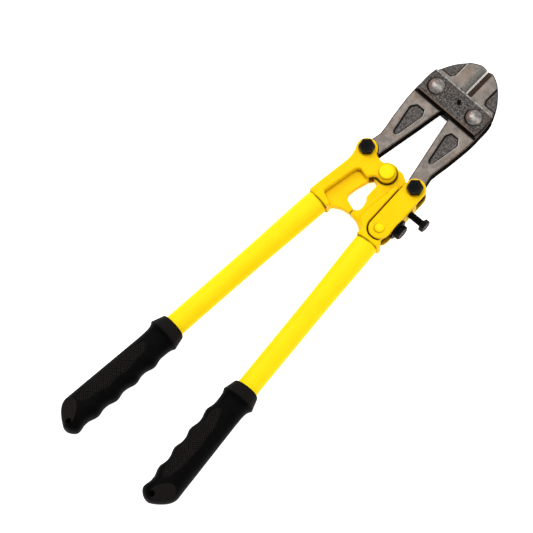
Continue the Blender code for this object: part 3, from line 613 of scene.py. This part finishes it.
def makeCasting(node, seed):
    mesh = skins[node]
    if node == "casting_right":
        softenRib(mesh, pointsOf(mesh))
    points, normals = pointsOf(mesh), normalsOf(mesh)
    hollow = hollowOf(mesh, points, normals)
    # painted shade on faces that lie low, toward the middle plane, inside recesses
    rise = (points[:, 2] - midZ) * np.sign(normals[:, 2])
    inward = smoothStep(-rise, 0.0020, 0.0045)
    gapShadow = np.zeros(len(points))
    # painted shadow: near-black where the link and right casting meet, and under the left casting's
    # eye
    if node == "adjusting_link":
        near = gapTo(points, pointsOf(skins["casting_right"]))
        gapShadow = 1 - smoothStep(near, 0.0006, castingLook["gapShadowReach"])
    if node == "casting_right":
        near = gapTo(points, pointsOf(skins["adjusting_link"]))
        gapShadow = 1 - smoothStep(near, 0.0007, 1.3 * castingLook["gapShadowReach"])
        near = gapTo(points, pointsOf(skins["casting_left"]))
        shadow = 1 - smoothStep(near, 0.0009, castingLook["shadowReach"])
        gapShadow = np.maximum(gapShadow, shadow)
    # painted shade in hollows, and painted shadow lines round the bolt heads
    creaseShade = smoothStep(hollow, castingLook["creaseShadeFrom"], castingLook["creaseShadeTo"])
    for bolt, radius in (("centre_bolt", 0.0062), ("link_rivet", 0.0041),
                         ("tail_bolt_left", 0.0066), ("tail_bolt_right", 0.0066)):
        creaseShade = np.maximum(creaseShade, castingLook["ring"] * ringAbout(points, bolt, radius))
    shift = castingLook["lump"] * lumps(points, castingLook["lumpScale"], seed)
    setPoints(mesh, points + normals * np.minimum(shift, 0.00002)[:, None])
    setValue(mesh, "creaseShade", creaseShade)
    setValue(mesh, "recessShade", 0.8 * inward)
    setValue(mesh, "gapShadow", 0.95 * gapShadow)
    return showMesh(mesh.name, mesh, node, castEnamel)


for node, seed in (("casting_left", 3.1), ("casting_right", 7.7), ("adjusting_link", 12.4)):
    makeCasting(node, seed)
print("castings made")


# Blades

bladeShape = {
    "voxel": 0.00036,
    "rounds": 2,
    "forgedRelief": 0.00012,
    "rimWidth": 0.00045,
    "outline": 0.0013,          # painted shadow band inside the hollows, wider on the shaded side
    "shadeFrom": (-0.95, 0.30),
    "sink": 0.00015,
    "plateShadowReach": 0.0031,
    "edgeWidth": 0.0013,
}


def nearest(points, others):
    # Distance and plan direction from each point to the closest of the others on its own face
    tree = KDTree(len(others))
    for i, (x, y, z) in enumerate(others):
        tree.insert((x, y, math.copysign(1, z - midZ)), i)
    tree.balance()
    gaps, ways = np.empty(len(points)), np.empty((len(points), 2))
    for i, (x, y, z) in enumerate(points):
        found, _, gaps[i] = tree.find((x, y, math.copysign(1, z - midZ)))
        ways[i] = found.x - x, found.y - y
    return gaps, ways / np.maximum(gaps, 1e-6)[:, None]


def makeBlade(side):
    node = "blade_" + side
    mesh = skinMesh("blade" + side.title(), node, bladeShape["voxel"], bladeShape["rounds"])
    points, normals = pointsOf(mesh), normalsOf(mesh)
    lo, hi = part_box(node)
    depth = (hi.z - lo.z) / 2 - np.abs(points[:, 2] - midZ)
    level = np.abs(normals[:, 2])
    rivetY = sum(corner.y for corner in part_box("head_rivet_left")) / 2
    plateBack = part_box("cover_plate_top")[0].y
    out = np.abs(points[:, 0])
    onBevel = (smoothStep(-out, -0.0064, -0.0058) * smoothStep(points[:, 1], rivetY + 0.007,
               rivetY + 0.009) * smoothStep(level, 0.50, 0.62))
    wall = smoothStep(-level, -0.55, -0.35) * (1 - onBevel)
    hollow = smoothStep(depth, 0.00030, 0.00060) * (1 - wall) * (1 - onBevel)
    isHollow, isFace = hollow > 0.5, (depth < 0.00016) & (level > 0.85)
    isWall = (depth > 0.0016) & (level < 0.4)
    outline, rim = np.zeros(len(points)), np.zeros(len(points))
    # painted shadow inside the hollows along their walls, wider on the shaded side
    gaps, ways = nearest(points[isHollow], points[isFace])
    shaded = ways @ np.array(bladeShape["shadeFrom"])
    reach = bladeShape["outline"] * (1 + 0.20 * shaded)
    outline[isHollow] = 1 - smoothStep(gaps / reach, 0.75, 1.25)
    # painted highlight: a light rim on the flats on the lit side of the hollows
    gaps, ways = nearest(points[isFace], points[isHollow])
    lit = smoothStep(ways @ np.array(bladeShape["shadeFrom"]), 0.1, 0.6)
    rim[isFace] = lit * (1 - smoothStep(gaps, bladeShape["rimWidth"], 2 * bladeShape["rimWidth"]))
    # painted shade: a dark band on the flats beside the side walls
    gaps, _ = nearest(points[isFace], points[isWall])
    border = np.zeros(len(points))
    border[isFace] = 0.75 * (1 - smoothStep(gaps, 0.0006, 0.0013)) * (1 - onBevel[isFace])
    # painted shadow on the flats behind the plate's rear rim, and painted shade where the castings
    # meet the blade
    contactShadow = (smoothStep(points[:, 1], plateBack - bladeShape["plateShadowReach"], plateBack - 0.0012)
              * smoothStep(-points[:, 1], -plateBack - 0.001, -plateBack)
              * smoothStep(level, 0.6, 0.9))
    castings = np.concatenate([pointsOf(skins[n]) for n in ("casting_" + side, "adjusting_link")])
    joint = 1 - smoothStep(gapTo(points, castings), 0.0007, 0.0012)
    contactShadow = np.maximum(contactShadow, joint)
    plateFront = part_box("cover_plate_top")[1].y
    edge = np.zeros(len(points))
    if side == "left":   # painted shade in a notch at the plate, and a painted highlight along the cutting line
        notch = onBevel * (1 - smoothStep(points[:, 1], plateFront + 0.0012, plateFront + 0.0026))
        contactShadow = np.maximum(contactShadow, notch * smoothStep(out, 0.0012, 0.0020))
        width = bladeShape["edgeWidth"]
        edge = smoothStep(level, 0.04, 0.20) * smoothStep(-out, -width, -0.45 * width)
        edge *= smoothStep(points[:, 1], rivetY + 0.010, rivetY + 0.013)
    else:                # painted shade over the whole bevel, up to the middle
        inner = smoothStep(-out, -0.0030, -0.0020) * smoothStep(level, 0.3, 0.5)
        onBevel = np.maximum(onBevel, inner * smoothStep(points[:, 1], rivetY + 0.007,
                                                         rivetY + 0.009))
    relief = bladeShape["forgedRelief"] * hollow * (
        lumps(points, 900.0, 2.0) + 0.7 * lumps(points, 2100.0, 5.0))
    relief -= bladeShape["sink"] * hollow * (1 - outline)
    setPoints(mesh, points + normals * relief[:, None])
    setValue(mesh, "forged", hollow)
    setValue(mesh, "side", np.maximum.reduce([wall, outline * 0.95, contactShadow, border]))
    setValue(mesh, "edge", np.maximum(edge, rim * 0.22))
    setValue(mesh, "bevel", onBevel)
    setValue(mesh, "warm", onBevel * (1 - edge) * (0.92 if side == "right" else 0.0))
    return showMesh(mesh.name, mesh, node, bladeSteel)


for side in ("left", "right"):
    makeBlade(side)
print("blades made")


# Cover plates and head rivets

plateShape = {
    "voxel": 0.00030,
    "rounds": 2,
    "relief": 0.00009,
    "markDepth": 0.0011,
    "markAt": (0.0026, 0.0017),
    "markSize": 0.0029,
}


def makePlate(side):
    node = "cover_plate_" + side
    mesh = skinMesh("coverPlate" + side.title(), node, plateShape["voxel"], plateShape["rounds"])
    points, normals = pointsOf(mesh), normalsOf(mesh)
    lo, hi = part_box(node)
    top = side == "top"
    depth = hi.z - points[:, 2] if top else points[:, 2] - lo.z
    outward = normals[:, 2] if top else -normals[:, 2]
    middle = (lo + hi) / 2
    offset = points[:, :2] - np.array(middle[:2]) - np.array(plateShape["markAt"])
    long, short = np.array((-0.67, 0.74)), np.array((0.74, 0.67))
    out = np.hypot(offset @ long / 1.3, offset @ short / 0.85)
    mark = (1 - smoothStep(out, 0.15 * plateShape["markSize"], plateShape["markSize"]))
    mark *= smoothStep(outward, 0.6, 0.9) * (1.0 if top else 0.0)
    face = smoothStep(outward, 0.5, 0.9)
    relief = plateShape["relief"] * face * (lumps(points, 1400.0, 9.0) - 0.25
                                            + 0.6 * lumps(points, 3000.0, 4.0))
    points = points + normals * relief[:, None]
    points[:, 2] -= plateShape["markDepth"] * mark * (1 if top else -1)
    setPoints(mesh, points)
    # painted highlight along the plate's front rim
    front = smoothStep(points[:, 1], hi.y - 0.0017, hi.y - 0.0012)
    setValue(mesh, "frontHighlight", front * smoothStep(-depth, -0.0012, -0.0006))
    setValue(mesh, "warm", 0.8 * smoothStep(-points[:, 1], -lo.y - 0.0015, -lo.y - 0.0009)
             * smoothStep(outward, 0.2, 0.6))
    wall = smoothStep(-np.abs(outward), -0.45, -0.15) * (1 - front)
    # painted shadow round each rivet, widest on its lower left
    ring = np.zeros(len(points))
    for rivet in ("head_rivet_left", "head_rivet_right"):
        first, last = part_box(rivet)
        centre, radius = (first + last) / 2, (last.x - first.x) / 2
        plan = points[:, :2] - np.array(centre[:2])
        away = np.linalg.norm(plan, axis=1)
        lean = plan @ np.array((-0.75, -0.66)) / np.maximum(away, 1e-6)
        near = away - radius - 0.0004 * (1 + lean)
        ring = np.maximum(ring, (0.75 + 0.25 * lean) * (1 - smoothStep(near, 0.0, 0.0006)))
    setValue(mesh, "side", np.maximum.reduce([wall, smoothStep(mark, 0.20, 0.50), ring]))
    return showMesh(mesh.name, mesh, node, forgedPlate)


rivetShape = {
    "voxel": 0.00022,
    "rounds": 3,
    "hammer": 0.00015,
    "hammerScale": 520.0,
    "reflectionFrom": (-0.95, -0.25),
}


def makeRivet(side):
    node = "head_rivet_" + side
    mesh = skinMesh("headRivet" + side.title(), node, rivetShape["voxel"], rivetShape["rounds"])
    points, normals = pointsOf(mesh), normalsOf(mesh)
    blows = np.array([noise.voronoi(Vector(p) * rivetShape["hammerScale"])[0][0]
                      for p in points])
    shift = -rivetShape["hammer"] * (1 - np.clip(blows * 1.6, 0, 1)) ** 2
    setPoints(mesh, points + normals * shift[:, None])
    # painted reflection: a darker, warmer tint on the side of the dome facing left
    tilt = normals[:, :2] @ np.array(rivetShape["reflectionFrom"])
    setValue(mesh, "brownReflection", 0.8 * smoothStep(tilt, 0.05, 0.60))
    # painted shadow: a dark band on the steep lower-left side of the dome
    steep = smoothStep(-np.abs(normals[:, 2]), -0.60, -0.42)
    setValue(mesh, "ring", steep * smoothStep(tilt, -0.9, 0.3))
    return showMesh(mesh.name, mesh, node, rivetSteel)


for side in ("top", "bottom"):
    makePlate(side)
for side in ("left", "right"):
    makeRivet(side)
print("head made")


# Bolts and nuts

boltShape = {
    "sides": 96,
    "pitch": 0.0010,
    "threadDepth": 0.00032,
    "chamfer": 30.0,          # degrees
    "rowStep": 0.00011,
    "wear": 0.35,
    "tailShank": 0.0038,
    "adjusterShank": 0.0030,
    "adjusterHead": 0.0042,   # height
}


def hexShape(halfWidth, low, high, slope):
    # A hexagon cut back by a shallow cone at each end
    turn = math.pi / 3

    def shape(height, radius, angles):
        if radius > 0:
            return np.full(len(angles), radius)
        flat = halfWidth / np.cos((angles + turn / 2) % turn - turn / 2)
        top = halfWidth * 0.97 + (high - height) / math.tan(slope)
        bottom = halfWidth * 0.97 + (height - low) / math.tan(slope) if low is not None else 1.0
        return np.minimum(flat, min(top, bottom))

    return shape


def headProfile(low, high, steps=9):
    return [(low + (high - low) * i / steps, -1.0) for i in range(steps + 1)]


def threadRows(low, high, radius):
    # Ridges run round the shank as a helix
    count = max(2, int((high - low) / boltShape["rowStep"]))
    return [(low + (high - low) * i / count, radius) for i in range(count + 1)]


def threadShape(radius, start, end):
    def shape(height, asked, angles):
        if not start <= height <= end:
            return np.full(len(angles), asked)
        turn = (height / boltShape["pitch"] - angles / (2 * math.pi)) % 1
        ridge = 1 - 2 * np.abs(turn - 0.5)
        ends = min(1.0, (height - start) / boltShape["pitch"],
                   (end - height) / boltShape["pitch"])
        return asked - boltShape["threadDepth"] * (1 - ridge) * max(0.0, ends)

    return shape


def boltMesh(name, origin, way, tip, seat, top, shank, halfWidth, threadTo):
    slope = math.radians(boltShape["chamfer"])
    asHex = hexShape(halfWidth, None, top, slope)
    asThread = threadShape(shank, tip + 0.0005, threadTo)

    def shape(height, radius, angles):
        if radius < 0:
            return asHex(height, radius, angles)
        return asThread(height, radius, angles)

    profile = [(tip, shank - 0.0006), (tip + 0.0002, shank - 0.0005)]
    profile += threadRows(tip + 0.0005, threadTo, shank)
    profile += [(seat, shank), (seat, halfWidth * 0.93), (seat + 0.0002, halfWidth * 0.95),
                (seat + 0.0002, -1.0)]
    profile += headProfile(seat + 0.0004, top)
    profile += [(top, halfWidth * 0.90), (top - 0.00012, halfWidth * 0.84),
                (top - 0.00016, halfWidth * 0.30), (top - 0.00016, 0.0002)]
    mesh = turnedMesh(name, origin, way, profile, boltShape["sides"], shape, 26)
    points = pointsOf(mesh)
    heights = (points - np.array(origin)) @ np.array(Vector(way).normalized())
    away = np.linalg.norm(points - np.array(origin) - np.outer(heights, Vector(way).normalized()),
                          axis=1)
    rim = smoothStep(heights, top - 0.0010, top - 0.0004) * smoothStep(away, 0.80 * halfWidth,
                                                                       0.93 * halfWidth)
    setValue(mesh, "worn", boltShape["wear"] * rim)
    return mesh


def nutMesh(name, origin, way, low, high, bore, halfWidth):
    slope = math.radians(boltShape["chamfer"])
    asHex = hexShape(halfWidth, low, high, slope)
    profile = [(high, bore), (high, halfWidth * 0.9)] + headProfile(low, high)[::-1]
    profile += [(low, halfWidth * 0.9), (low, bore + 0.0004), (low + 0.0004, bore)]
    profile = profile[::-1]
    mesh = turnedMesh(name, origin, way, profile + [profile[0]], boltShape["sides"], asHex, 26)
    openRing(mesh)
    points = pointsOf(mesh)
    heights = (points - np.array(origin)) @ np.array(Vector(way).normalized())
    setValue(mesh, "worn", 0.6 * smoothStep(-heights, -low - 0.0006, -low - 0.0001))
    return mesh


def hexHalfWidth(node):
    lo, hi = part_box(node)
    return min(hi.x - lo.x, hi.y - lo.y) / 2


def makeTailBolt(side):
    node, nutNode = "tail_bolt_" + side, "tail_nut_" + side
    lo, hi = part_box(node)
    nutLo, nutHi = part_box(nutNode)
    origin = ((lo.x + hi.x) / 2, (lo.y + hi.y) / 2, 0)
    seat = 2 * midZ - nutHi.z
    shank, halfWidth = boltShape["tailShank"], hexHalfWidth(node)
    mesh = boltMesh("tailBolt" + side.title(), origin, (0, 0, 1), lo.z, seat, hi.z, shank,
                    halfWidth, nutHi.z - 0.0002)
    showMesh(mesh.name, mesh, node, blackOxide)
    nut = nutMesh("tailNut" + side.title(), origin, (0, 0, 1), nutLo.z, nutHi.z,
                  shank + 0.0003, halfWidth)
    showMesh(nut.name, nut, nutNode, blackOxide)


def makeAdjusters():
    shank, headHeight = boltShape["adjusterShank"], boltShape["adjusterHead"]
    for node, name in (("push_bolt", "pushBolt"), ("pull_bolt", "pullBolt")):
        middle, way, start, end = axisOf(node, (1, 0, 0))
        points = pointsOf(nodes[node].data)
        reach = np.abs((points - middle)[:, 2]).max()
        wide = np.abs((points - middle) @ np.cross(way, (0, 0, 1))).max()
        halfWidth = min(reach, wide)
        seat = end - headHeight
        mesh = boltMesh(name, middle, way, start, seat, end, shank, halfWidth, seat - 0.0002)
        showMesh(name, mesh, node, blackOxide)
    lo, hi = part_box("pull_washer")
    _, way, _, _ = axisOf("pull_bolt", (1, 0, 0))
    points = pointsOf(nodes["pull_washer"].data)
    middle = np.array((lo + hi) / 2)
    along = (points - middle) @ way
    radius = (hi.z - lo.z) / 2
    low, high = along.min(), along.max()
    profile = [(low, 0.0033), (low, radius - 0.0003), (low + 0.0003, radius),
               (high - 0.0005, radius), (high, radius - 0.0006), (high, 0.0036),
               (high - 0.0003, 0.0033), (low, 0.0033)]
    mesh = turnedMesh("pullWasher", middle, way, profile, 96)
    openRing(mesh)
    setValue(mesh, "worn", np.zeros(len(mesh.vertices)))
    showMesh("pullWasher", mesh, "pull_washer", blackOxide)


def makeCentreBolt():
    lo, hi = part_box("centre_bolt")
    nutLo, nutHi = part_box("centre_nut")
    origin = ((lo.x + hi.x) / 2, (lo.y + hi.y) / 2, 0)
    seat = 2 * midZ - nutHi.z
    radius = (hi.x - lo.x) / 2
    profile = [(lo.z, 0.0034), (lo.z + 0.0005, 0.0040), (seat, 0.0040), (seat, radius - 0.0003),
               (seat + 0.0003, radius)]
    for i in range(9):
        turn = math.pi / 2 * i / 8
        profile.append((hi.z - 0.0014 + 0.0009 * math.sin(turn),
                        radius - 0.0011 * (1 - math.cos(turn))))
    for i in range(1, 6):
        share = i / 6
        profile.append((hi.z - 0.0005 * (1 - share) ** 1.5, (radius - 0.0011) * (1 - share)))
    mesh = turnedMesh("centreBolt", origin, (0, 0, 1), profile, 96, None, 40)
    showMesh("centreBolt", mesh, "centre_bolt", tubeEnamel)
    nut = nutMesh("centreNut", origin, (0, 0, 1), nutLo.z, nutHi.z, 0.0043,
                  hexHalfWidth("centre_nut"))
    showMesh("centreNut", nut, "centre_nut", tubeEnamel)
    mesh = skinMesh("linkRivet", "link_rivet", 0.0002, 6)
    showMesh("linkRivet", mesh, "link_rivet", tubeEnamel)


for side in ("left", "right"):
    makeTailBolt(side)
makeAdjusters()
makeCentreBolt()
print("fasteners made")


# Handle tubes

tubeShape = {"sides": 128, "rows": 140, "wave": 0.00003}


def makeTube(side):
    node = "tube_" + side
    middle, way, start, end = axisOf(node, (0, -1, 0))
    points = pointsOf(nodes[node].data)
    along = (points - middle) @ way
    away = np.linalg.norm((points - middle) - np.outer(along, way), axis=1)
    stations = np.unique(np.round(along, 5))
    radii = [away[np.abs(along - s) < 2e-5].max() for s in stations]
    profile = []
    for i in range(tubeShape["rows"] + 1):
        share = i / tubeShape["rows"]
        at = start + (end - start) * share
        radius = np.interp(at, stations[1:], radii[1:])
        profile.append((at, radius * 0.9985))
    lead = [(start, profile[0][1] - 0.0012), (start + 0.0001, profile[0][1] - 0.0006)]
    profile = lead + [(start + 0.0005, profile[0][1] - 0.0001)] + profile[1:]
    mesh = turnedMesh("tube" + side.title(), middle, way, profile, tubeShape["sides"])
    spots = pointsOf(mesh)
    wave = tubeShape["wave"] * lumps(spots, 60.0, 4.0 if side == "left" else 8.0)
    setPoints(mesh, spots + normalsOf(mesh) * np.minimum(wave, 0)[:, None])
    down = (spots - middle) @ way - start
    outside = np.sign(middle[0]) * (spots[:, 0] - middle[0] - way[0] * (down + start))
    setValue(mesh, "joint", (1 - smoothStep(down, 0.0003, 0.0008))
             * smoothStep(-outside, -0.0050, -0.0010))
    showMesh(mesh.name, mesh, node, tubeEnamel)


for side in ("left", "right"):
    makeTube(side)
print("tubes made")


# Grips

gripShape = {
    "sides": 224,
    "mouthRadius": 0.0114,
    "collarRadius": 0.0145,
    "collarLength": 0.0110,
    "neckEase": 0.0035,
    "neckRadius": 0.0112,
    "heelRadius": 0.0135,
    "palmRadius": 0.0123,
    "belly": 0.0008,
    "flatness": 0.97,
    "heelLength": 0.0180,
    "heelInset": 0.0030,
    "toeLength": 0.0070,
    "toeRadius": 0.0060,
    "hollowDepth": 0.0019,
    "hollowPitch": 0.0203,
    "hollowStart": 0.0235,
    "squareness": 0.88,
    "diamondPitch": 0.0021,
    "diamondDepth": 0.00060,
    "patchStart": 0.027,
    "patchEnd": 0.020,
    "facetRise": 0.0086,     # flat round the hanging hole
    "facetSlope": 0.62,
    "holeRadius": 0.0023,
    "holeBack": 0.0047,
    "holeSide": 0.0040,
}


def gripWidths(at, length):
    # Half-widths on the finger side and the outer side, and half-height
    look = gripShape
    if at <= look["collarLength"]:
        part = at / look["collarLength"]
        width = look["mouthRadius"] + (look["collarRadius"] - look["mouthRadius"]) * part
        width -= 0.0006 * max(0.0, 1 - at / 0.0008) ** 2
        return width, width, width * look["flatness"]
    part = (at - look["collarLength"]) / (length - look["collarLength"])
    fall = math.exp((look["collarLength"] - at) / look["neckEase"])
    outer = look["neckRadius"] + (look["heelRadius"] - look["neckRadius"]) * part
    high = look["flatness"] * (outer + (look["collarRadius"] - outer) * fall)
    outer += (look["collarRadius"] - outer) * fall
    inner = look["palmRadius"] + look["belly"] * math.sin(math.pi * part)
    inner += (look["collarRadius"] - inner) * fall
    if at > look["hollowStart"]:
        turn = (at - look["hollowStart"]) / look["hollowPitch"]
        inner += look["hollowDepth"] * ((1 - math.cos(2 * math.pi * turn)) / 2) ** 1.3
    left = length - at
    heel = 1 - max(0.0, 1 - left / look["heelLength"]) ** 2.1
    outer = heel * (outer + look["heelInset"]) - look["heelInset"]
    toe = math.sqrt(1 - max(0.0, 1 - left / look["toeLength"]) ** 2)
    inner = look["toeRadius"] + (inner - look["toeRadius"]) * toe
    roof = math.sqrt(1 - max(0.0, 1 - left / look["heelLength"]) ** 2)
    return inner, outer, look["heelInset"] + (high - look["heelInset"]) * roof


def makeGrip(side):
    node, look = "grip_" + side, gripShape
    middle, way, _, _ = axisOf("tube_" + side, (0, -1, 0))
    along = (pointsOf(nodes[node].data) - middle) @ way
    start, end = along.min(), along.max()
    length = end - start
    outward = np.array([-way[1], way[0], 0.0])
    if side == "left":
        outward = -outward
    toCorner = 0.75 * way + 0.66 * outward
    hole = middle + way * (end - look["holeBack"]) - outward * look["holeSide"]
    angles = np.arange(look["sides"]) * 2 * math.pi / look["sides"]
    power = look["squareness"]
    across = np.sign(np.cos(angles)) * np.abs(np.cos(angles)) ** power
    high = np.sign(np.sin(angles)) * np.abs(np.sin(angles)) ** power
    stations = np.concatenate([
        np.linspace(0, look["collarLength"], 26),
        np.linspace(look["collarLength"], 0.0235, 34)[1:],
        np.linspace(0.0235, length - look["heelLength"], 214)[1:],
        length - look["heelLength"] * (1 - np.linspace(0, 1, 46)[1:]) ** 1.6])
    rows, ridges = [], []
    for radius, at in ((0.0094, 0.0120), (0.0094, 0.0002)):
        rows.append(middle + way * (start + at) + np.outer(np.cos(angles) * radius, outward)
                    + np.outer(np.sin(angles) * radius, (0, 0, 1)))
        ridges.append(np.zeros(len(angles)))
    for at in stations:
        inner, outer, tall = gripWidths(at, length)
        half, shift = (inner + outer) / 2, (outer - inner) / 2
        arc = np.arctan2(np.cos(angles), np.abs(np.sin(angles))) * look["heelRadius"]
        turns = np.stack([(at + arc) / look["diamondPitch"], (at - arc) / look["diamondPitch"]])
        groove = np.clip(1 - 5.2 * np.abs(turns % 1 - 0.5), 0, 1).max(axis=0)
        part = np.clip((at - look["patchStart"]) / (length - look["patchEnd"]
                                                    - look["patchStart"]), 0, 1)
        swell = 0.55 * math.sin(math.pi * part) ** 0.4
        sideways = -np.cos(angles) * np.sign(outward[0])
        patch = (smoothStep(part, 0.0, 0.03) * smoothStep(-part, -1.0, -0.97)
                 * smoothStep(swell - np.abs(sideways - 0.25), 0.0, 0.14))
        sunk = look["diamondDepth"] * patch * groove
        row = (middle + way * (start + at)
               + np.outer(shift + across * (half - sunk), outward)
               + np.outer(high * (tall - sunk), (0, 0, 1)))
        limit = look["facetRise"] - look["facetSlope"] * ((row - hole) @ toCorner)
        flat = np.abs(row[:, 2] - midZ) > limit
        row[:, 2] = midZ + np.clip(row[:, 2] - midZ, -limit, limit)
        rows.append(row)
        # painted sheen on the collar, its crest and the flats round the hole, and on the diamond
        # peaks
        crest = 0.35 * math.exp(-((at - look["collarLength"]) / 0.0008) ** 2)
        collar = 0.40 if 0.0006 < at < look["collarLength"] - 0.0006 else 0.0
        peak = (2 * np.abs(turns % 1 - 0.5)).min(axis=0) ** 1.5
        ridges.append(np.maximum(patch * peak,
                                 np.maximum(0.30 * flat, 0.5 * max(collar, crest))))
    mesh = gridMesh("grip" + side.title(), rows)
    setValue(mesh, "ridge", np.concatenate(ridges))
    mesh.shade_smooth()
    mesh.set_sharp_from_angle(angle=math.radians(34))
    piece = showMesh(mesh.name, mesh, node, blackRubber)
    cutHole(piece, hole, look["holeRadius"])
    # painted shade: near-black inside the hanging hole
    away = np.linalg.norm((pointsOf(piece.data) - hole)[:, :2], axis=1)
    setValue(piece.data, "holeShade", away < look["holeRadius"] + 0.00003)
    return piece


def cutHole(piece, centre, radius):
    bm = bmesh.new()
    bmesh.ops.create_cone(bm, cap_ends=True, segments=40, radius1=radius, radius2=radius,
                          depth=0.06)
    mesh = bpy.data.meshes.new("holeTool")
    bm.to_mesh(mesh)
    bm.free()
    tool = bpy.data.objects.new("holeTool", mesh)
    bpy.context.scene.collection.objects.link(tool)
    tool.location = (centre[0], centre[1], midZ)
    bpy.context.view_layer.update()
    step = piece.modifiers.new("hole", "BOOLEAN")
    step.operation = "DIFFERENCE"
    step.solver = "EXACT"
    step.object = tool
    bpy.context.view_layer.update()
    graph = bpy.context.evaluated_depsgraph_get()
    cut = bpy.data.meshes.new_from_object(piece.evaluated_get(graph))
    cut.name = piece.data.name
    piece.modifiers.clear()
    piece.data = cut
    cut.shade_smooth()
    cut.set_sharp_from_angle(angle=math.radians(50))
    bpy.data.objects.remove(tool)


for side in ("left", "right"):
    makeGrip(side)
print("grips made")


# Floor, world and lights

studio = {
    "floor": (0.92, 0.92, 0.92),
    "world": (0.46, 0.46, 0.47),
    "glow": 0.75,           # keeps the pale floor from going grey under the tool
}


def makeFloor():
    bm = bmesh.new()
    bmesh.ops.create_grid(bm, x_segments=4, y_segments=4, size=4.0)
    mesh = bpy.data.meshes.new("floor")
    bm.to_mesh(mesh)
    bm.free()
    floor = bpy.data.objects.new("floor", mesh)
    bpy.context.scene.collection.objects.link(floor)
    floor.location.z = -0.0002
    material, tree, shader = newMaterial("paleFloor", studio["floor"], 0.0, 0.9)
    shader.inputs["Specular IOR Level"].default_value = 0.1
    tint = noiseAt(tree, placeCoords(tree), 3.0)
    tree.links.new(mixColour(tree, tint, studio["floor"], (0.925, 0.925, 0.922)),
                   shader.inputs["Base Color"])
    shader.inputs["Emission Color"].default_value = (1, 1, 1, 1)
    shader.inputs["Emission Strength"].default_value = studio["glow"]
    mesh.materials.append(material)


def makeWorld():
    world = bpy.data.worlds.new("studio")
    world.use_nodes = True
    world.node_tree.nodes["Background"].inputs["Color"].default_value = (*studio["world"], 1)
    world.node_tree.nodes["Background"].inputs["Strength"].default_value = 1.0
    bpy.context.scene.world = world


def softbox(name, way, distance, size, power, colour=(1, 1, 1)):
    # A lamp out along way from the tool, its long side parallel to the tool
    data = bpy.data.lights.new(name, "AREA")
    data.shape = "RECTANGLE"
    data.size, data.size_y = size
    data.energy = power
    data.color = colour
    lamp = bpy.data.objects.new(name, data)
    bpy.context.scene.collection.objects.link(lamp)
    back = Vector(way).normalized()
    right = Vector((0, 1, 0)).cross(back).normalized()
    up = back.cross(right)
    place = (cadBox[0] + cadBox[1]) / 2 + back * distance
    lamp.matrix_world = Matrix((
        (right.x, up.x, back.x, place.x),
        (right.y, up.y, back.y, place.y),
        (right.z, up.z, back.z, place.z),
        (0, 0, 0, 1)))
    return lamp


makeFloor()
makeWorld()
softbox("keyLight", (-0.75, 0.25, 0.90), 1.5, (1.2, 1.2), 17)
softbox("topLight", (0.05, 0.10, 1.0), 1.7, (1.3, 1.3), 12)
softbox("stripLight", (0.536, 0.319, 0.783), 1.5, (0.07, 1.8), 2.6)
softbox("rightLight", (0.90, 0.25, 0.50), 1.4, (0.8, 0.9), 4, (1.0, 0.95, 0.88))

bpy.context.scene.view_settings.view_transform = "Standard"

print("studio made")
